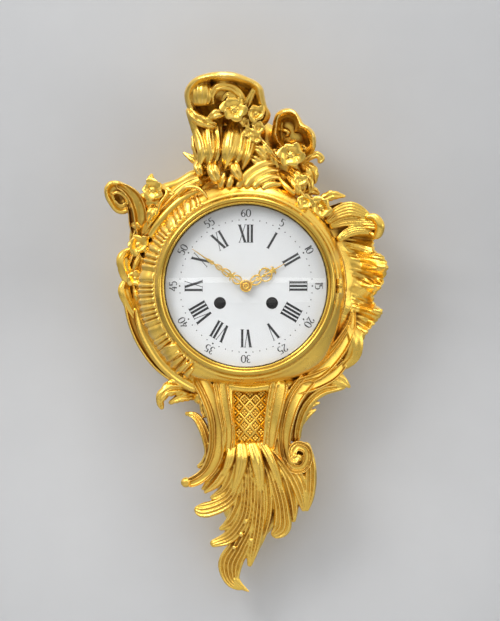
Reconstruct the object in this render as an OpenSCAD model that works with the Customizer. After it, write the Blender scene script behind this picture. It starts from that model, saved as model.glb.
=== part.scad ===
// Cartel clock. Each node is drawn in a flat frame: x right, y up from the dial centre,
// z out from the wall, and place() stands it up behind the nail hole at the origin.

/* [Hanging] */
// Height of the nail hole above the dial centre
hang_rise = 104; // [100:1:108]
// Radius of the nail hole
hang_hole_r = 5; // [3:0.5:6]
// Width of the hanging plate
hang_w = 76; // [66:1:82]
// Height of the hanging plate
hang_h = 16; // [14:0.5:18]
// Thickness of the hanging plate
hang_t = 3; // [2:0.5:4]

/* [Case] */
// Distance of the dial ring seat from the wall
seat_z = 93; // [90:1:98]
// Width of the flat seat round the opening
seat_w = 7; // [6:0.5:8]
// Number of flutes round the left border
flute_n = 28; // [20:1:40]
// Depth of the flutes
flute_h = 1.6; // [0.5:0.1:2.5]

/* [Dial] */
// Radius of the enamel dial
dial_r = 80.4; // [78:0.2:83]
// Room between the dial and the opening in the case, for the ring that carries the dial
ring_w = 5.6; // [5:0.1:6.4]
// Thickness of the enamel dial
dial_t = 2; // [1.5:0.1:2.5]
// Thickness of the brass pan behind it
pan_t = 1.2; // [0.8:0.1:1.5]
// Radius of the holes for the winding key
key_hole_r = 6; // [5:0.5:7]
// Half the distance between the winding holes
wind_x = 26; // [25:0.5:27]
// Drop of the winding holes below the dial centre
wind_drop = 17; // [16:0.5:18]

/* [Bezel] */
// Width of the bezel moulding
bezel_w = 10.4; // [9:0.1:11]
// Height of the bezel moulding
bezel_h = 9.2; // [8:0.1:11]
// Rise of the glass dome
glass_rise = 10.5; // [8:0.5:13]
// Thickness of the glass
glass_t = 2; // [1.5:0.1:2.5]
// Radius of the hinge knuckles
knuckle_r = 2.4; // [2.2:0.1:2.6]
// Radius of the hinge pin
pin_r = 1; // [0.8:0.1:1.2]

/* [Hands] */
// Length of the hour hand
hour_len = 45; // [40:1:50]
// Length of the minute hand
minute_len = 65; // [60:1:70]
// Thickness of a hand
hand_t = 1.2; // [0.8:0.1:1.4]
// Where the hour hand points, in degrees clockwise from the top
hour_at = 60; // [0:1:359]
// Where the minute hand points, in degrees clockwise from the top
minute_at = 304.5; // [0:0.5:359]

/* [Movement] */
// Radius of the two plates
plate_r = 52; // [51:0.5:56]
// Thickness of each plate
plate_t = 2.5; // [2:0.1:3]
// Length of the pillars between the plates
pillar_len = 35.5; // [35:0.5:38]
// Radius of the pillars
pillar_r = 3.2; // [2.8:0.1:3.4]
// Length of the posts between front plate and pan
post_len = 6.5; // [6.2:0.1:8]
// Radius of the escape wheel
escape_r = 9; // [8.5:0.1:9.4]
// Running clearance on a radius
fit = 0.05; // [0.03:0.01:0.08]

/* [Pendulum and bell] */
// Distance from the suspension to the centre of the bob
bob_drop = 174; // [168:1:178]
// Radius of the bob
bob_r = 16; // [13:0.5:17]
// Thickness of the bob
bob_t = 10; // [8:0.5:11]
// Radius of the pendulum rod
rod_r = 1.2; // [1:0.1:1.4]
// Radius of the bell at its mouth
bell_r = 38; // [34:0.5:39]
// Height of the bell
bell_h = 20; // [18:0.5:20.5]

/* [Hidden] */
$fn = 48;
gilt = [0.82, 0.62, 0.24];
brass = [0.78, 0.62, 0.30];
steel = [0.55, 0.56, 0.58];
white = [0.94, 0.94, 0.92];
glassy = [0.8, 0.9, 0.95, 0.4];
open_r = dial_r + ring_w;
seat_r = open_r + seat_w;
// The castings are drawn round an opening of drawn_r, and move out with the one in use
drawn_r = 86;
spread = open_r - drawn_r;
lip_z = seat_z - 38;
foot_z = seat_z - 47;
pan_z = seat_z - 6;
dial_z = pan_z + pan_t;
dial_front = dial_z + dial_t;
flange_z = seat_z + 2.5;
flange_r = seat_r - 1.5;
tube_r = open_r - 0.4;
hinge_x = flange_r + 2;
hinge_z = flange_z + 0.8;
knuckle_l = 4.8;
bezel_z = flange_z + 0.05;
bezel_r = dial_r + 0.2 + bezel_w;
front_z = pan_z - post_len - plate_t;
inner_z = front_z - pillar_len;
back_z = inner_z - plate_t;
face_z = front_z + plate_t;

// Teeth and modules of the trains
great_n = 84;
second_leaf = 14;
second_n = 72;
centre_leaf = 12;
train_m = 0.5;
centre_n = 96;
third_leaf = 8;
centre_m = 0.35;
third_n = 96;
escape_leaf = 8;
third_m = 0.28;
escape_n = 30;
pin_n = 72;
warn_leaf = 8;
warn_n = 60;
fly_leaf = 8;
strike_m = 0.25;
cannon_n = 20;
minute_n = 60;
minute_leaf = 10;
hour_n = 40;
motion_d = 14;

function polar(r, a) = [r * cos(a), r * sin(a)];
function span(m, a, b) = m * (a + b) / 2;
function aim(a, b) = atan2(b[1] - a[1], b[0] - a[0]);
// The point at distance ra from a and rb from b, on the left of the line from a to b
function meet(a, ra, b, rb) =
    let (d = norm(b - a), u = (ra * ra - rb * rb + d * d) / (2 * d), h = sqrt(ra * ra - u * u))
    a + (b - a) * u / d + [a[1] - b[1], b[0] - a[0]] * h / d;
// The turn that puts gear b, with nb teeth, in mesh with gear a, with na teeth turned by fa
function mesh_turn(a, na, fa, b, nb) =
    let (line = aim(a, b), u = (line - fa) * na / 360) line + 180 - (0.5 - u) * 360 / nb;

// Where the arbors stand
pivot_r = 0.8;
slim_r = 0.6;
centre_p = [0, 0];
going_p = [wind_x, -wind_drop];
striking_p = [-wind_x, -wind_drop];
inter_p = meet(centre_p, span(train_m, second_n, centre_leaf),
    going_p, span(train_m, great_n, second_leaf));
strike2_p = [-inter_p[0], inter_p[1]];
escape_p = [0, 32];
third_p = meet(escape_p, span(third_m, third_n, escape_leaf),
    centre_p, span(centre_m, centre_n, third_leaf));
anchor_p = escape_p + [0, escape_r + 3.7];
pinwheel_p = strike2_p + polar(span(train_m, second_n, centre_leaf), 100);
warn_p = pinwheel_p + polar(span(strike_m, pin_n, warn_leaf), 206);
fly_p = warn_p + polar(span(strike_m, warn_n, fly_leaf), 200);
hammer_p = [-42, 12];
stud_p = [0, motion_d];
bell_p = [15, -6];
pillar_ps = [[21.6, 40.6], [-21.6, 40.6], [47, 8], [-47, 8], [0, -46]];
post_ps = [[38, 28], [-38, 28], [16, -44], [-16, -44]];
click_p = [12.5, 6];
ring_as = [60, 180, 300];

// How far each gear is turned to stand in mesh
second_f = mesh_turn(going_p, great_n, 0, inter_p, second_leaf);
centre_f = mesh_turn(inter_p, second_n, 0, centre_p, centre_leaf);
third_f = mesh_turn(centre_p, centre_n, 0, third_p, third_leaf);
escape_f = mesh_turn(third_p, third_n, 0, escape_p, escape_leaf);
strike2_f = mesh_turn(striking_p, great_n, 0, strike2_p, second_leaf);
pinwheel_f = mesh_turn(strike2_p, second_n, 0, pinwheel_p, centre_leaf);
warn_f = mesh_turn(pinwheel_p, pin_n, 0, warn_p, warn_leaf);
fly_f = mesh_turn(warn_p, warn_n, 0, fly_p, fly_leaf);
stud_f = mesh_turn(centre_p, cannon_n, 0, stud_p, minute_n);
hour_f = mesh_turn(stud_p, minute_leaf, 0, centre_p, hour_n);

// Depths of the layers between and behind the plates
great_z = front_z - 8;
second_z = front_z - 3.2;
strike_z = second_z + 1.9;
slow_z = inner_z + 1.5;
third_z = inner_z + 9.5;
beat_z = inner_z + 15.5;
pinwheel_z = front_z - 12;
warn_z = pinwheel_z - 6;
rod_z = back_z - 7;
bell_z = rod_z - 5;
hammer_z = bell_z - 8;

function ease(p0, p1, p2, p3, t) =
    0.5 * (2 * p1 + (p2 - p0) * t + (2 * p0 - 5 * p1 + 4 * p2 - p3) * t * t
    + (3 * p1 - p0 - 3 * p2 + p3) * t * t * t);
function pick(list, i) = list[max(0, min(len(list) - 1, i))];
// A smooth curve through hand-chosen stations, in n steps
function curve(list, n) = [
    for (k = [0:n])
        let (u = k / n * (len(list) - 1), i = min(floor(u), len(list) - 2))
        ease(pick(list, i - 1), list[i], list[i + 1], pick(list, i + 2), u - i)
];

// Width of the case outside its opening every 15 degrees, counted from the viewer's right
outline = [
    22, 22, 24, 26, 30, 34, 36, 36, 34, 32, 32, 35, 39, 40, 40, 39, 34, 24, 21, 23, 31, 39, 28, 22
];
function rim_r(a) =
    let (u = ((a % 360) + 360) % 360 / 15, i = floor(u))
    open_r + ease(outline[(i + 23) % 24], outline[i % 24], outline[(i + 1) % 24], outline[(i + 2) % 24],
        u - i);
// Height of the case front between seat (0) and rim (1)
cove = [[-1, 0], [0, 0], [0.1, -3], [0.42, -11], [0.52, -25], [0.8, -42], [1, -40], [2, -48]];
function case_z(x, y) =
    let (a = atan2(y, x), s = (norm([x, y]) - seat_r) / (rim_r(a) - seat_r))
    seat_z + lookup(s, cove);
// A station, or a list of stations, moved out from the dial centre by the spread
function out(p) = let (k = 1 + spread / norm([p[0], p[1]]))
    [for (i = [0:len(p) - 1]) i < 2 ? p[i] * k : p[i]];
function moved(list) = [for (p = list) out(p)];

module place() {
    translate([0, 0, -hang_rise]) rotate([90, 0, 0]) children();
}

// A skin over rings of equal length
module skin(rings, closed = false) {
    n = len(rings);
    m = len(rings[0]);
    points = [for (ring = rings) each ring];
    turns = closed ? n : n - 1;
    sides = [
        for (k = [0:turns - 1], j = [0:m - 1])
            let (a = k * m + j, b = k * m + (j + 1) % m)
            let (c = ((k + 1) % n) * m + (j + 1) % m, d = ((k + 1) % n) * m + j)
            each [[a, b, c], [a, c, d]]
    ];
    first = [for (j = [m - 1:-1:0]) j];
    last = [for (j = [0:m - 1]) (n - 1) * m + j];
    polyhedron(points, closed ? sides : concat(sides, [first], [last]), convexity = 10);
}

// Sections across a strand: a rounded band and a ridged blade
band = [[1, 0], [0, -0.7], [-1, 0], [-0.45, 0.9], [0.45, 0.9]];
blade = [[1, 0], [0, -0.8], [-1, 0], [0, 1]];

// A strand along stations [x, y, z, half width, half thickness]
module strand(list, profile = band) {
    steps = len(list) - 1 + floor(len(list) / 6);
    path = curve(list, steps);
    skin([
        for (k = [0:steps])
            let (c = path[k], d = pick(path, k + 1) - pick(path, k - 1))
            let (t = [d[0], d[1]] / max(norm([d[0], d[1]]), 0.001))
            [for (p = profile) [c[0] - t[1] * p[0] * c[3], c[1] + t[0] * p[0] * c[3], c[2] + p[1] * c[4]]]
    ]);
}

// A rounded bead between two points, for buds, tips and stems
module bead(a, b, ra, rb, sides = 6) {
    hull() {
        translate(a) sphere(r = ra, $fn = sides);
        translate(b) sphere(r = rb, $fn = sides);
    }
}

// A flower of radius r, facing out: a dish of petals, three points to a petal, with a raised eye
module flower(x, y, z, r, turn = 0, petals = 5) {
    skin([
        for (ring = [[0.14, 0.14, 0.32], [0.3, 0.3, 0.08], [0.5, 0.72, 0.26], [0.62, 1, -0.06],
            [0.3, 0.3, -0.75]]) [
            for (i = [0:petals - 1], k = [0:2])
                let (a = turn + (i + [0, 0.32, 0.68][k]) * 360 / petals,
                    q = polar(r * ring[k == 0 ? 0 : 1], a))
                [x + q[0], y + q[1], z + r * ring[2]]
        ]
    ]);
}

// Teeth drawn as plain wedges: wheels are fuller than the leaves of pinions
module toothed(n, m, turn, add, ded, root, tip) {
    pitch = 360 / n;
    r = n * m / 2;
    polygon([
        for (i = [0:n - 1])
            let (a = i * pitch + turn)
            each [
                polar(r - ded * m, a - root * pitch), polar(r + add * m, a - tip * pitch),
                polar(r + add * m, a + tip * pitch), polar(r - ded * m, a + root * pitch)
            ]
    ]);
}

module wheel(n, m, turn, z, t, bore, holes = 5) {
    r = n * m / 2;
    translate([0, 0, z]) linear_extrude(t) difference() {
        toothed(n, m, turn, 0.8, 1.2, 0.24, 0.08);
        circle(r = bore);
        if (r > 6) {
            for (i = [0:holes - 1]) rotate(i * 360 / holes + 18) translate([r * 0.57, 0])
                circle(r = r * 0.22);
        }
    }
}

module pinion(n, m, turn, z, t) {
    translate([0, 0, z]) linear_extrude(t) toothed(n, m, turn, 0.6, 1.3, 0.17, 0.08);
}

// A steel arbor with a pivot in each plate
module arbor(r, pivot) {
    translate([0, 0, inner_z + 0.3]) cylinder(r = r, h = pillar_len - 0.6);
    translate([0, 0, back_z + 0.2]) cylinder(r = pivot, h = pillar_len + 2 * plate_t - 0.4);
}

module rod_between(a, b, z, w, t) {
    d = b - a;
    translate([a[0], a[1], z]) rotate(atan2(d[1], d[0])) translate([0, -w / 2, 0]) cube([norm(d), w, t]);
}

module front_plate() {
    place() color(brass) {
        difference() {
            translate([0, 0, front_z]) cylinder(r = plate_r, h = plate_t, $fn = 96);
            translate([0, 0, front_z - 1]) linear_extrude(plate_t + 2) {
                for (p = [going_p, striking_p]) translate(p) circle(r = 2.5 + fit);
                translate(centre_p) circle(r = 2 + fit);
                for (p = [inter_p, strike2_p, third_p, anchor_p, pinwheel_p, hammer_p])
                    translate(p) circle(r = pivot_r + fit);
                for (p = [escape_p, warn_p, fly_p]) translate(p) circle(r = slim_r + fit);
                for (p = pillar_ps) translate(p) circle(r = 2);
                translate(stud_p) circle(r = 1.2);
            }
        }
        for (s = [-1, 1]) translate([s * (wind_x + click_p[0]), click_p[1] - wind_drop, face_z - 0.01])
            cylinder(r = 1.4, h = 2.6);
    }
}

module back_plate() {
    place() color(brass) difference() {
        translate([0, 0, back_z]) cylinder(r = plate_r, h = plate_t, $fn = 96);
        translate([0, 0, back_z - 1]) linear_extrude(plate_t + 2) {
            for (p = [going_p, striking_p]) translate(p) circle(r = 2 + fit);
            for (p = [centre_p, inter_p, third_p, pinwheel_p]) translate(p) circle(r = pivot_r + fit);
            for (p = [escape_p, warn_p, fly_p]) translate(p) circle(r = slim_r + fit);
            for (p = [strike2_p, hammer_p]) translate(p) circle(r = 1.2 + fit);
            translate(anchor_p) circle(r = 2);
            for (p = pillar_ps) translate(p) circle(r = 2);
        }
    }
}

module plate_pillars() {
    place() color(brass) for (p = pillar_ps) translate([p[0], p[1], 0]) {
        translate([0, 0, inner_z]) cylinder(r = pillar_r, h = pillar_len);
        translate([0, 0, front_z - 1]) cylinder(r = 2, h = plate_t + 1);
        translate([0, 0, back_z - 3]) cylinder(r = 2, h = plate_t + 4);
    }
}

module pillar_nuts() {
    place() color(steel) for (p = pillar_ps) translate([p[0], p[1], back_z - 2.4]) difference() {
        cylinder(r = 3.6, h = 2.4, $fn = 6);
        translate([0, 0, -1]) cylinder(r = 2, h = 5);
    }
}

module minute_stud() {
    place() color(steel) translate([stud_p[0], stud_p[1], 0]) {
        translate([0, 0, front_z]) cylinder(r = 1.2, h = plate_t);
        translate([0, 0, face_z]) cylinder(r = 1.2, h = post_len - 0.8);
    }
}

// Barrel drum with its great wheel; the coiled spring fills the drum
module barrel(p) {
    translate([p[0], p[1], 0]) {
        difference() {
            translate([0, 0, slow_z + 2.8]) cylinder(r = great_n * train_m / 2 - 1,
                h = great_z - slow_z - 2.8);
            translate([0, 0, slow_z]) cylinder(r = 3 + fit, h = pillar_len);
        }
        wheel(great_n, train_m, 0, great_z, 3, 3 + fit, 0);
    }
}

module going_barrel() {
    place() color(brass) barrel(going_p);
}

module strike_barrel() {
    place() color(brass) barrel(striking_p);
}

// Winding arbor with its square and its ratchet
module winder(p, side) {
    translate([p[0], p[1], 0]) {
        translate([0, 0, inner_z + 0.5]) cylinder(r = 3, h = pillar_len - 1);
        translate([0, 0, back_z + 0.2]) cylinder(r = 2, h = plate_t + 0.4);
        translate([0, 0, front_z - 0.6]) cylinder(r = 2.5, h = plate_t + 0.9);
        translate([0, 0, face_z + 0.3]) linear_extrude(2) polygon([
            for (i = [0:23]) each [polar(7.8, side * 15 * i), polar(9, side * 15 * i)]
        ]);
        translate([-2.3, -2.3, face_z + 2.2]) cube([4.6, 4.6, post_len + 0.6]);
    }
}

module going_winder() {
    place() color(steel) winder(going_p, 1);
}

module strike_winder() {
    place() color(steel) winder(striking_p, -1);
}

// Click with its beak in a tooth of the ratchet
module click(p, side) {
    translate([p[0], p[1], face_z + 0.3]) linear_extrude(2) difference() {
        polygon([
            for (q = [polar(8.35, -0.7), polar(9.6, -0.7), [11, 4.4], [10.6, 6.6], [12, 8.2], [14, 7.8],
                [14.8, 5.6], [13, 1.4], [11.6, -2.4], polar(9.2, -9)]) [side * q[0], q[1]]
        ]);
        translate([side * click_p[0], click_p[1]]) circle(r = 1.4 + fit);
    }
}

module going_click() {
    place() color(steel) click(going_p, 1);
}

module strike_click() {
    place() color(steel) click(striking_p, -1);
}

module intermediate_wheel() {
    place() color(brass) translate([inter_p[0], inter_p[1], 0]) {
        arbor(1.2, pivot_r);
        pinion(second_leaf, train_m, second_f, great_z - 0.4, 3.8);
        wheel(second_n, train_m, 0, second_z, 1.4, 0.5);
    }
}

module centre_wheel() {
    place() color(brass) {
        translate([0, 0, inner_z + 0.3]) cylinder(r = 2, h = pillar_len + plate_t - 0.2);
        translate([0, 0, back_z + 0.2]) cylinder(r = pivot_r, h = plate_t + 0.4);
        translate([0, 0, face_z]) cylinder(r = 1.5, h = dial_front + 7 - face_z);
        pinion(centre_leaf, train_m, centre_f, second_z - 0.4, 2);
        wheel(centre_n, centre_m, 0, slow_z, 1.3, 0.5);
    }
}

module third_wheel() {
    place() color(brass) translate([third_p[0], third_p[1], 0]) {
        arbor(0.9, pivot_r);
        pinion(third_leaf, centre_m, third_f, slow_z - 0.4, 2.1);
        wheel(third_n, third_m, 0, third_z, 1.2, 0.5);
    }
}

module escape_wheel() {
    place() color(brass) translate([escape_p[0], escape_p[1], 0]) {
        arbor(0.65, slim_r);
        pinion(escape_leaf, third_m, escape_f, third_z - 0.5, 2.3);
        translate([0, 0, beat_z]) linear_extrude(1.2) difference() {
            polygon([
                for (i = [0:escape_n - 1]) let (a = i * 360 / escape_n)
                    each [polar(escape_r - 1.6, a), polar(escape_r, a + 5), polar(escape_r, a + 6)]
            ]);
            for (i = [0:4]) rotate(72 * i) translate([escape_r * 0.5, 0]) circle(r = escape_r * 0.19);
        }
    }
}

// Anchor, its arbor and the crutch that the pendulum rod passes through
module pallet_anchor() {
    place() color(steel) translate([anchor_p[0], anchor_p[1], 0]) {
        translate([0, 0, rod_z + 2.5]) cylinder(r = 1, h = front_z - rod_z - 2.8);
        translate([0, 0, front_z - 1]) cylinder(r = pivot_r, h = plate_t + 0.8);
        translate([0, 0, beat_z]) linear_extrude(1.2) {
            circle(r = 2.4);
            polygon([[-2, -1], [-6.9, -5.8], [-8.6, -5.6], [-6, -0.4], [-1.6, 2], [1.6, 2], [6, -0.4],
                [8.6, -5.6], [6.9, -5.8], [2, -1]]);
        }
        translate([-0.8, -32, rod_z + 2.5]) cube([1.6, 32, 1.2]);
        translate([0, 0, rod_z + 2.5]) cylinder(r = 2.2, h = 1.2);
        difference() {
            translate([-rod_r - 1.3, -33.5, rod_z - 2]) cube([2 * rod_r + 2.6, 2.4, 5.6]);
            translate([-rod_r - 0.12, -35, rod_z - 4]) cube([2 * rod_r + 0.24, 6, rod_r + 4.12]);
        }
    }
}

module back_cock() {
    place() color(brass) translate([anchor_p[0], anchor_p[1], 0]) difference() {
        union() {
            translate([-11, -3, back_z - 3]) cube([22, 10, 3]);
            translate([-3.4, 2.4, rod_z - 2.6]) cube([6.8, 4.6, back_z - rod_z]);
        }
        translate([0, 0, back_z - 4]) cylinder(r = 1 + fit, h = 5);
        translate([-0.7, 0, rod_z - 4]) cube([1.4, 5, 6.6]);
        for (x = [-8, 8]) translate([x, 2, back_z - 4]) cylinder(r = 1.2, h = 5);
    }
}

module cock_screws() {
    place() color(steel) for (x = [-8, 8]) translate([anchor_p[0] + x, anchor_p[1] + 2, 0]) difference() {
        union() {
            translate([0, 0, back_z - 3]) cylinder(r = 1.2, h = 3);
            translate([0, 0, back_z - 4.4]) cylinder(r = 2.2, h = 1.4);
        }
        translate([-3, -0.3, back_z - 5]) cube([6, 0.6, 1.2]);
    }
}

module suspension_spring() {
    place() color(steel) translate([anchor_p[0] - 0.15, anchor_p[1] - 6, rod_z - 2]) cube([0.3, 10, 4]);
}

bob_y = anchor_p[1] - bob_drop;

module pendulum_rod() {
    place() color(steel) translate([0, 0, rod_z]) {
        translate([-1.5, anchor_p[1] - 9, -2]) difference() {
            cube([3, 6, 4]);
            translate([1.35, 3, -1]) cube([0.3, 4, 6]);
        }
        translate([0, anchor_p[1] - 8, 0]) rotate([90, 0, 0]) cylinder(r = rod_r, h = bob_drop + bob_r - 1);
    }
}

module pendulum_bob() {
    place() color(brass) translate([0, bob_y, rod_z]) difference() {
        rotate_extrude($fn = 96) polygon([
            [0, bob_t / 2], [bob_r * 0.5, bob_t * 0.43], [bob_r * 0.8, bob_t * 0.27], [bob_r, 0.4],
            [bob_r, -0.4], [bob_r * 0.8, -bob_t * 0.27], [bob_r * 0.5, -bob_t * 0.43], [0, -bob_t / 2]
        ]);
        translate([0, 40, 0]) rotate([90, 0, 0]) cylinder(r = rod_r, h = 80);
    }
}

module rating_nut() {
    place() color(brass) translate([0, bob_y - bob_r, rod_z]) rotate([90, 0, 0]) difference() {
        cylinder(r = 3.4, h = 3, $fn = 12);
        translate([0, 0, -1]) cylinder(r = rod_r, h = 6);
    }
}

module strike_second() {
    place() color(brass) translate([strike2_p[0], strike2_p[1], 0]) {
        translate([0, 0, back_z - 3.4]) cylinder(r = 1.2, h = front_z - back_z + 3.1);
        translate([0, 0, front_z - 1]) cylinder(r = pivot_r, h = plate_t + 0.8);
        pinion(second_leaf, train_m, strike2_f, great_z - 0.4, 3.8);
        wheel(second_n, train_m, 0, strike_z, 1, 0.5);
    }
}

// Disc with a notch after each count from one to twelve
function struck(h) = h * (h + 1) / 2 + h;
module count_wheel() {
    place() color(brass) translate([strike2_p[0], strike2_p[1], back_z - 3]) linear_extrude(1.4)
        difference() {
        circle(r = 19, $fn = 96);
        circle(r = 1.2);
        for (h = [1:12]) rotate(struck(h) * 4) translate([18.2, 0]) square([3, 1.4], center = true);
    }
}

module pin_wheel() {
    place() color(brass) translate([pinwheel_p[0], pinwheel_p[1], 0]) {
        arbor(0.9, pivot_r);
        pinion(centre_leaf, train_m, pinwheel_f, strike_z - 0.4, 1.5);
        wheel(pin_n, strike_m, 0, pinwheel_z, 1.2, 0.5);
        for (i = [0:9]) rotate(36 * i) translate([7.4, 0, pinwheel_z + 0.6]) cylinder(r = 0.4, h = 3);
    }
}

module warning_wheel() {
    place() color(brass) translate([warn_p[0], warn_p[1], 0]) {
        arbor(0.65, slim_r);
        pinion(warn_leaf, strike_m, warn_f, pinwheel_z - 0.5, 2.3);
        wheel(warn_n, strike_m, 0, warn_z, 1, 0.5);
    }
}

module fly() {
    place() color(brass) translate([fly_p[0], fly_p[1], 0]) {
        arbor(0.65, slim_r);
        pinion(fly_leaf, strike_m, fly_f, warn_z - 0.5, 2);
        translate([-5.2, -0.3, warn_z - 14]) cube([10.4, 0.6, 12]);
    }
}

// Hammer resting just off the bell
hammer_a = 147;
hammer_d = bell_p + polar(bell_r + 2.2, hammer_a);

module hammer() {
    place() color(steel) {
        translate([hammer_p[0], hammer_p[1], hammer_z - 0.6]) cylinder(r = 1.2, h = front_z - hammer_z);
        translate([hammer_p[0], hammer_p[1], front_z - 1]) cylinder(r = pivot_r, h = plate_t + 0.8);
        translate([hammer_p[0], hammer_p[1], hammer_z - 0.8]) cylinder(r = 2.4, h = 1.6);
        rod_between(hammer_p, hammer_d, hammer_z - 0.6, 1.6, 1.2);
        translate([hammer_d[0], hammer_d[1], hammer_z]) rotate([0, 0, hammer_a + 180]) rotate([0, 90, 0])
            translate([0, 0, -3]) cylinder(r = 2.8, h = 6);
    }
}

bell_nut_t = 2.6;
module bell_stand() {
    place() color(steel) translate([bell_p[0], bell_p[1], 0]) {
        translate([0, 0, bell_z - bell_h * 0.89]) cylinder(r = 3, h = back_z - bell_z + bell_h * 0.89);
        translate([0, 0, bell_z - bell_h - bell_nut_t - 0.4]) cylinder(r = 2, h = bell_nut_t + 3.4);
    }
}

module bell() {
    r = bell_r;
    h = bell_h;
    place() color(brass) translate([bell_p[0], bell_p[1], bell_z]) rotate_extrude($fn = 96) polygon([
        [2, -h], [r * 0.26, -h * 0.99], [r * 0.52, -h * 0.92], [r * 0.73, -h * 0.775],
        [r * 0.87, -h * 0.575], [r * 0.95, -h * 0.35], [r, 0], [r - 2.4, 0], [r * 0.95 - 2.4, -h * 0.32],
        [r * 0.87 - 2.2, -h * 0.515], [r * 0.73 - 1.8, -h * 0.685], [r * 0.52 - 1, -h * 0.81],
        [r * 0.26, -h * 0.88], [2, -h * 0.89]
    ]);
}

module bell_nut() {
    place() color(steel) translate([bell_p[0], bell_p[1], bell_z - bell_h - bell_nut_t]) difference() {
        cylinder(r = 4, h = bell_nut_t, $fn = 6);
        translate([0, 0, -1]) cylinder(r = 2, h = 6);
    }
}

// Motion work and hands
module cannon_pinion() {
    place() color(steel) difference() {
        union() {
            pinion(cannon_n, 2 * motion_d / (cannon_n + minute_n), 0, face_z + 0.5, 2.2);
            translate([0, 0, face_z + 0.5]) cylinder(r = 2.8, h = dial_front + 6 - face_z - 0.5);
        }
        translate([0, 0, face_z - 1]) cylinder(r = 1.5 + fit, h = 40);
    }
}

module minute_wheel() {
    place() color(brass) translate([stud_p[0], stud_p[1], 0]) difference() {
        union() {
            wheel(minute_n, 2 * motion_d / (cannon_n + minute_n), stud_f, face_z + 0.8, 1.5, 0.6);
            pinion(minute_leaf, 2 * motion_d / (minute_leaf + hour_n), 0, face_z + 2.2, 3);
        }
        translate([0, 0, face_z - 1]) cylinder(r = 1.2 + fit, h = 20);
    }
}

module hour_wheel() {
    place() color(brass) difference() {
        union() {
            wheel(hour_n, 2 * motion_d / (minute_leaf + hour_n), hour_f, face_z + 3.4, 1.4, 2);
            translate([0, 0, face_z + 3.4]) cylinder(r = 4, h = dial_front + 2.6 - face_z - 3.4);
        }
        translate([0, 0, face_z - 1]) cylinder(r = 2.8 + fit, h = 40);
    }
}

// A pierced hand of length l, pointing up: a boss, a stem with scroll loops and a thin spear
module hand(l, bore) {
    difference() {
        union() {
            cylinder(r = 6, h = hand_t);
            linear_extrude(hand_t) polygon([
                [-2.2, 4], [-1.1, l * 0.2], [-3.4, l * 0.3], [-3.6, l * 0.4], [-1.2, l * 0.5],
                [-1.6, l * 0.56],
                [-2.6, l * 0.62], [-1.4, l * 0.7], [-0.7, l * 0.8], [-0.25, l], [0.25, l], [0.7, l * 0.8],
                [1.4, l * 0.7], [2.6, l * 0.62], [1.6, l * 0.56], [1.2, l * 0.5], [3.6, l * 0.4],
                [3.4, l * 0.3],
                [1.1, l * 0.2], [2.2, 4]
            ]);
            for (s = [-1, 1]) translate([s * 2.7, l * 0.25, 0]) cylinder(r = 1.9, h = hand_t);
        }
        translate([0, 0, -1]) {
            cylinder(r = bore, h = hand_t + 2);
            for (s = [-1, 1]) {
                translate([s * 2.7, l * 0.25, 0]) cylinder(r = 0.9, h = hand_t + 2);
                translate([s * 1.7, l * 0.37, 0]) cylinder(r = 1.05, h = hand_t + 2);
            }
            translate([0, l * 0.62, 0]) cylinder(r = 0.7, h = hand_t + 2);
        }
    }
}

module hour_hand() {
    place() color(gilt) translate([0, 0, dial_front + 1.4]) rotate(-hour_at) hand(hour_len, 4);
}

module minute_hand() {
    place() color(gilt) translate([0, 0, dial_front + 4]) rotate(-minute_at) hand(minute_len, 2.8);
}

module hand_collet() {
    place() color(gilt) translate([0, 0, dial_front + 6]) difference() {
        rotate_extrude() polygon([[0, -0.8], [4.6, -0.8], [4.6, 0.4], [3.6, 1.6], [2, 2.4], [0, 2.7]]);
        translate([0, 0, -1]) cylinder(r = 2.8, h = 1);
        translate([0, 0, -1]) cylinder(r = 1.5 + 2 * fit, h = 2.3);
    }
}

// Dial, its pan and the fixed ring
module enamel_dial() {
    place() color(white) difference() {
        translate([0, 0, dial_z]) cylinder(r = dial_r, h = dial_t, $fn = 180);
        translate([0, 0, dial_z - 1]) {
            cylinder(r = 5, h = dial_t + 2);
            for (s = [-1, 1]) translate([s * wind_x, -wind_drop, 0])
                cylinder(r = key_hole_r, h = dial_t + 2);
        }
    }
}

module dial_pan() {
    place() color(brass) {
        difference() {
            translate([0, 0, pan_z]) cylinder(r = dial_r, h = pan_t, $fn = 180);
            translate([0, 0, pan_z - 1]) {
                cylinder(r = 5, h = pan_t + 2);
                for (s = [-1, 1]) translate([s * wind_x, -wind_drop, 0])
                    cylinder(r = key_hole_r, h = pan_t + 2);
            }
        }
        for (p = post_ps) translate([p[0], p[1], face_z]) cylinder(r = 2.6, h = post_len + 0.2);
    }
}

module dial_ring() {
    place() color(gilt) difference() {
        union() {
            rotate_extrude($fn = 180) polygon([
                [dial_r - 3.4, pan_z - 2], [tube_r, pan_z - 2], [tube_r, seat_z], [flange_r, seat_z],
                [flange_r, flange_z], [dial_r + 1.1, flange_z], [dial_r + 0.1, flange_z - 1],
                [dial_r + 0.1, pan_z], [dial_r - 3.4, pan_z]
            ]);
            for (s = [-1, 1]) translate([hinge_x, s * knuckle_l, hinge_z]) {
                rotate([90, 0, 0]) cylinder(r = knuckle_r, h = knuckle_l - 0.1, center = true);
                translate([-4, -knuckle_l / 2 + 0.05, seat_z - hinge_z]) cube([4, knuckle_l - 0.1, 2.5]);
            }
        }
        translate([hinge_x, 0, hinge_z]) rotate([90, 0, 0])
            cylinder(r = knuckle_r + 0.2, h = knuckle_l + 0.1, center = true);
        translate([hinge_x, 0, hinge_z]) rotate([90, 0, 0])
            cylinder(r = pin_r, h = 4 * knuckle_l, center = true);
        for (a = ring_as) rotate(a) translate([(tube_r + flange_r) / 2, 0, seat_z - 1]) {
            cylinder(r = 1.3, h = 6);
            translate([0, 0, 2.3]) cylinder(r = 2.2, h = 4);
        }
    }
}

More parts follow.
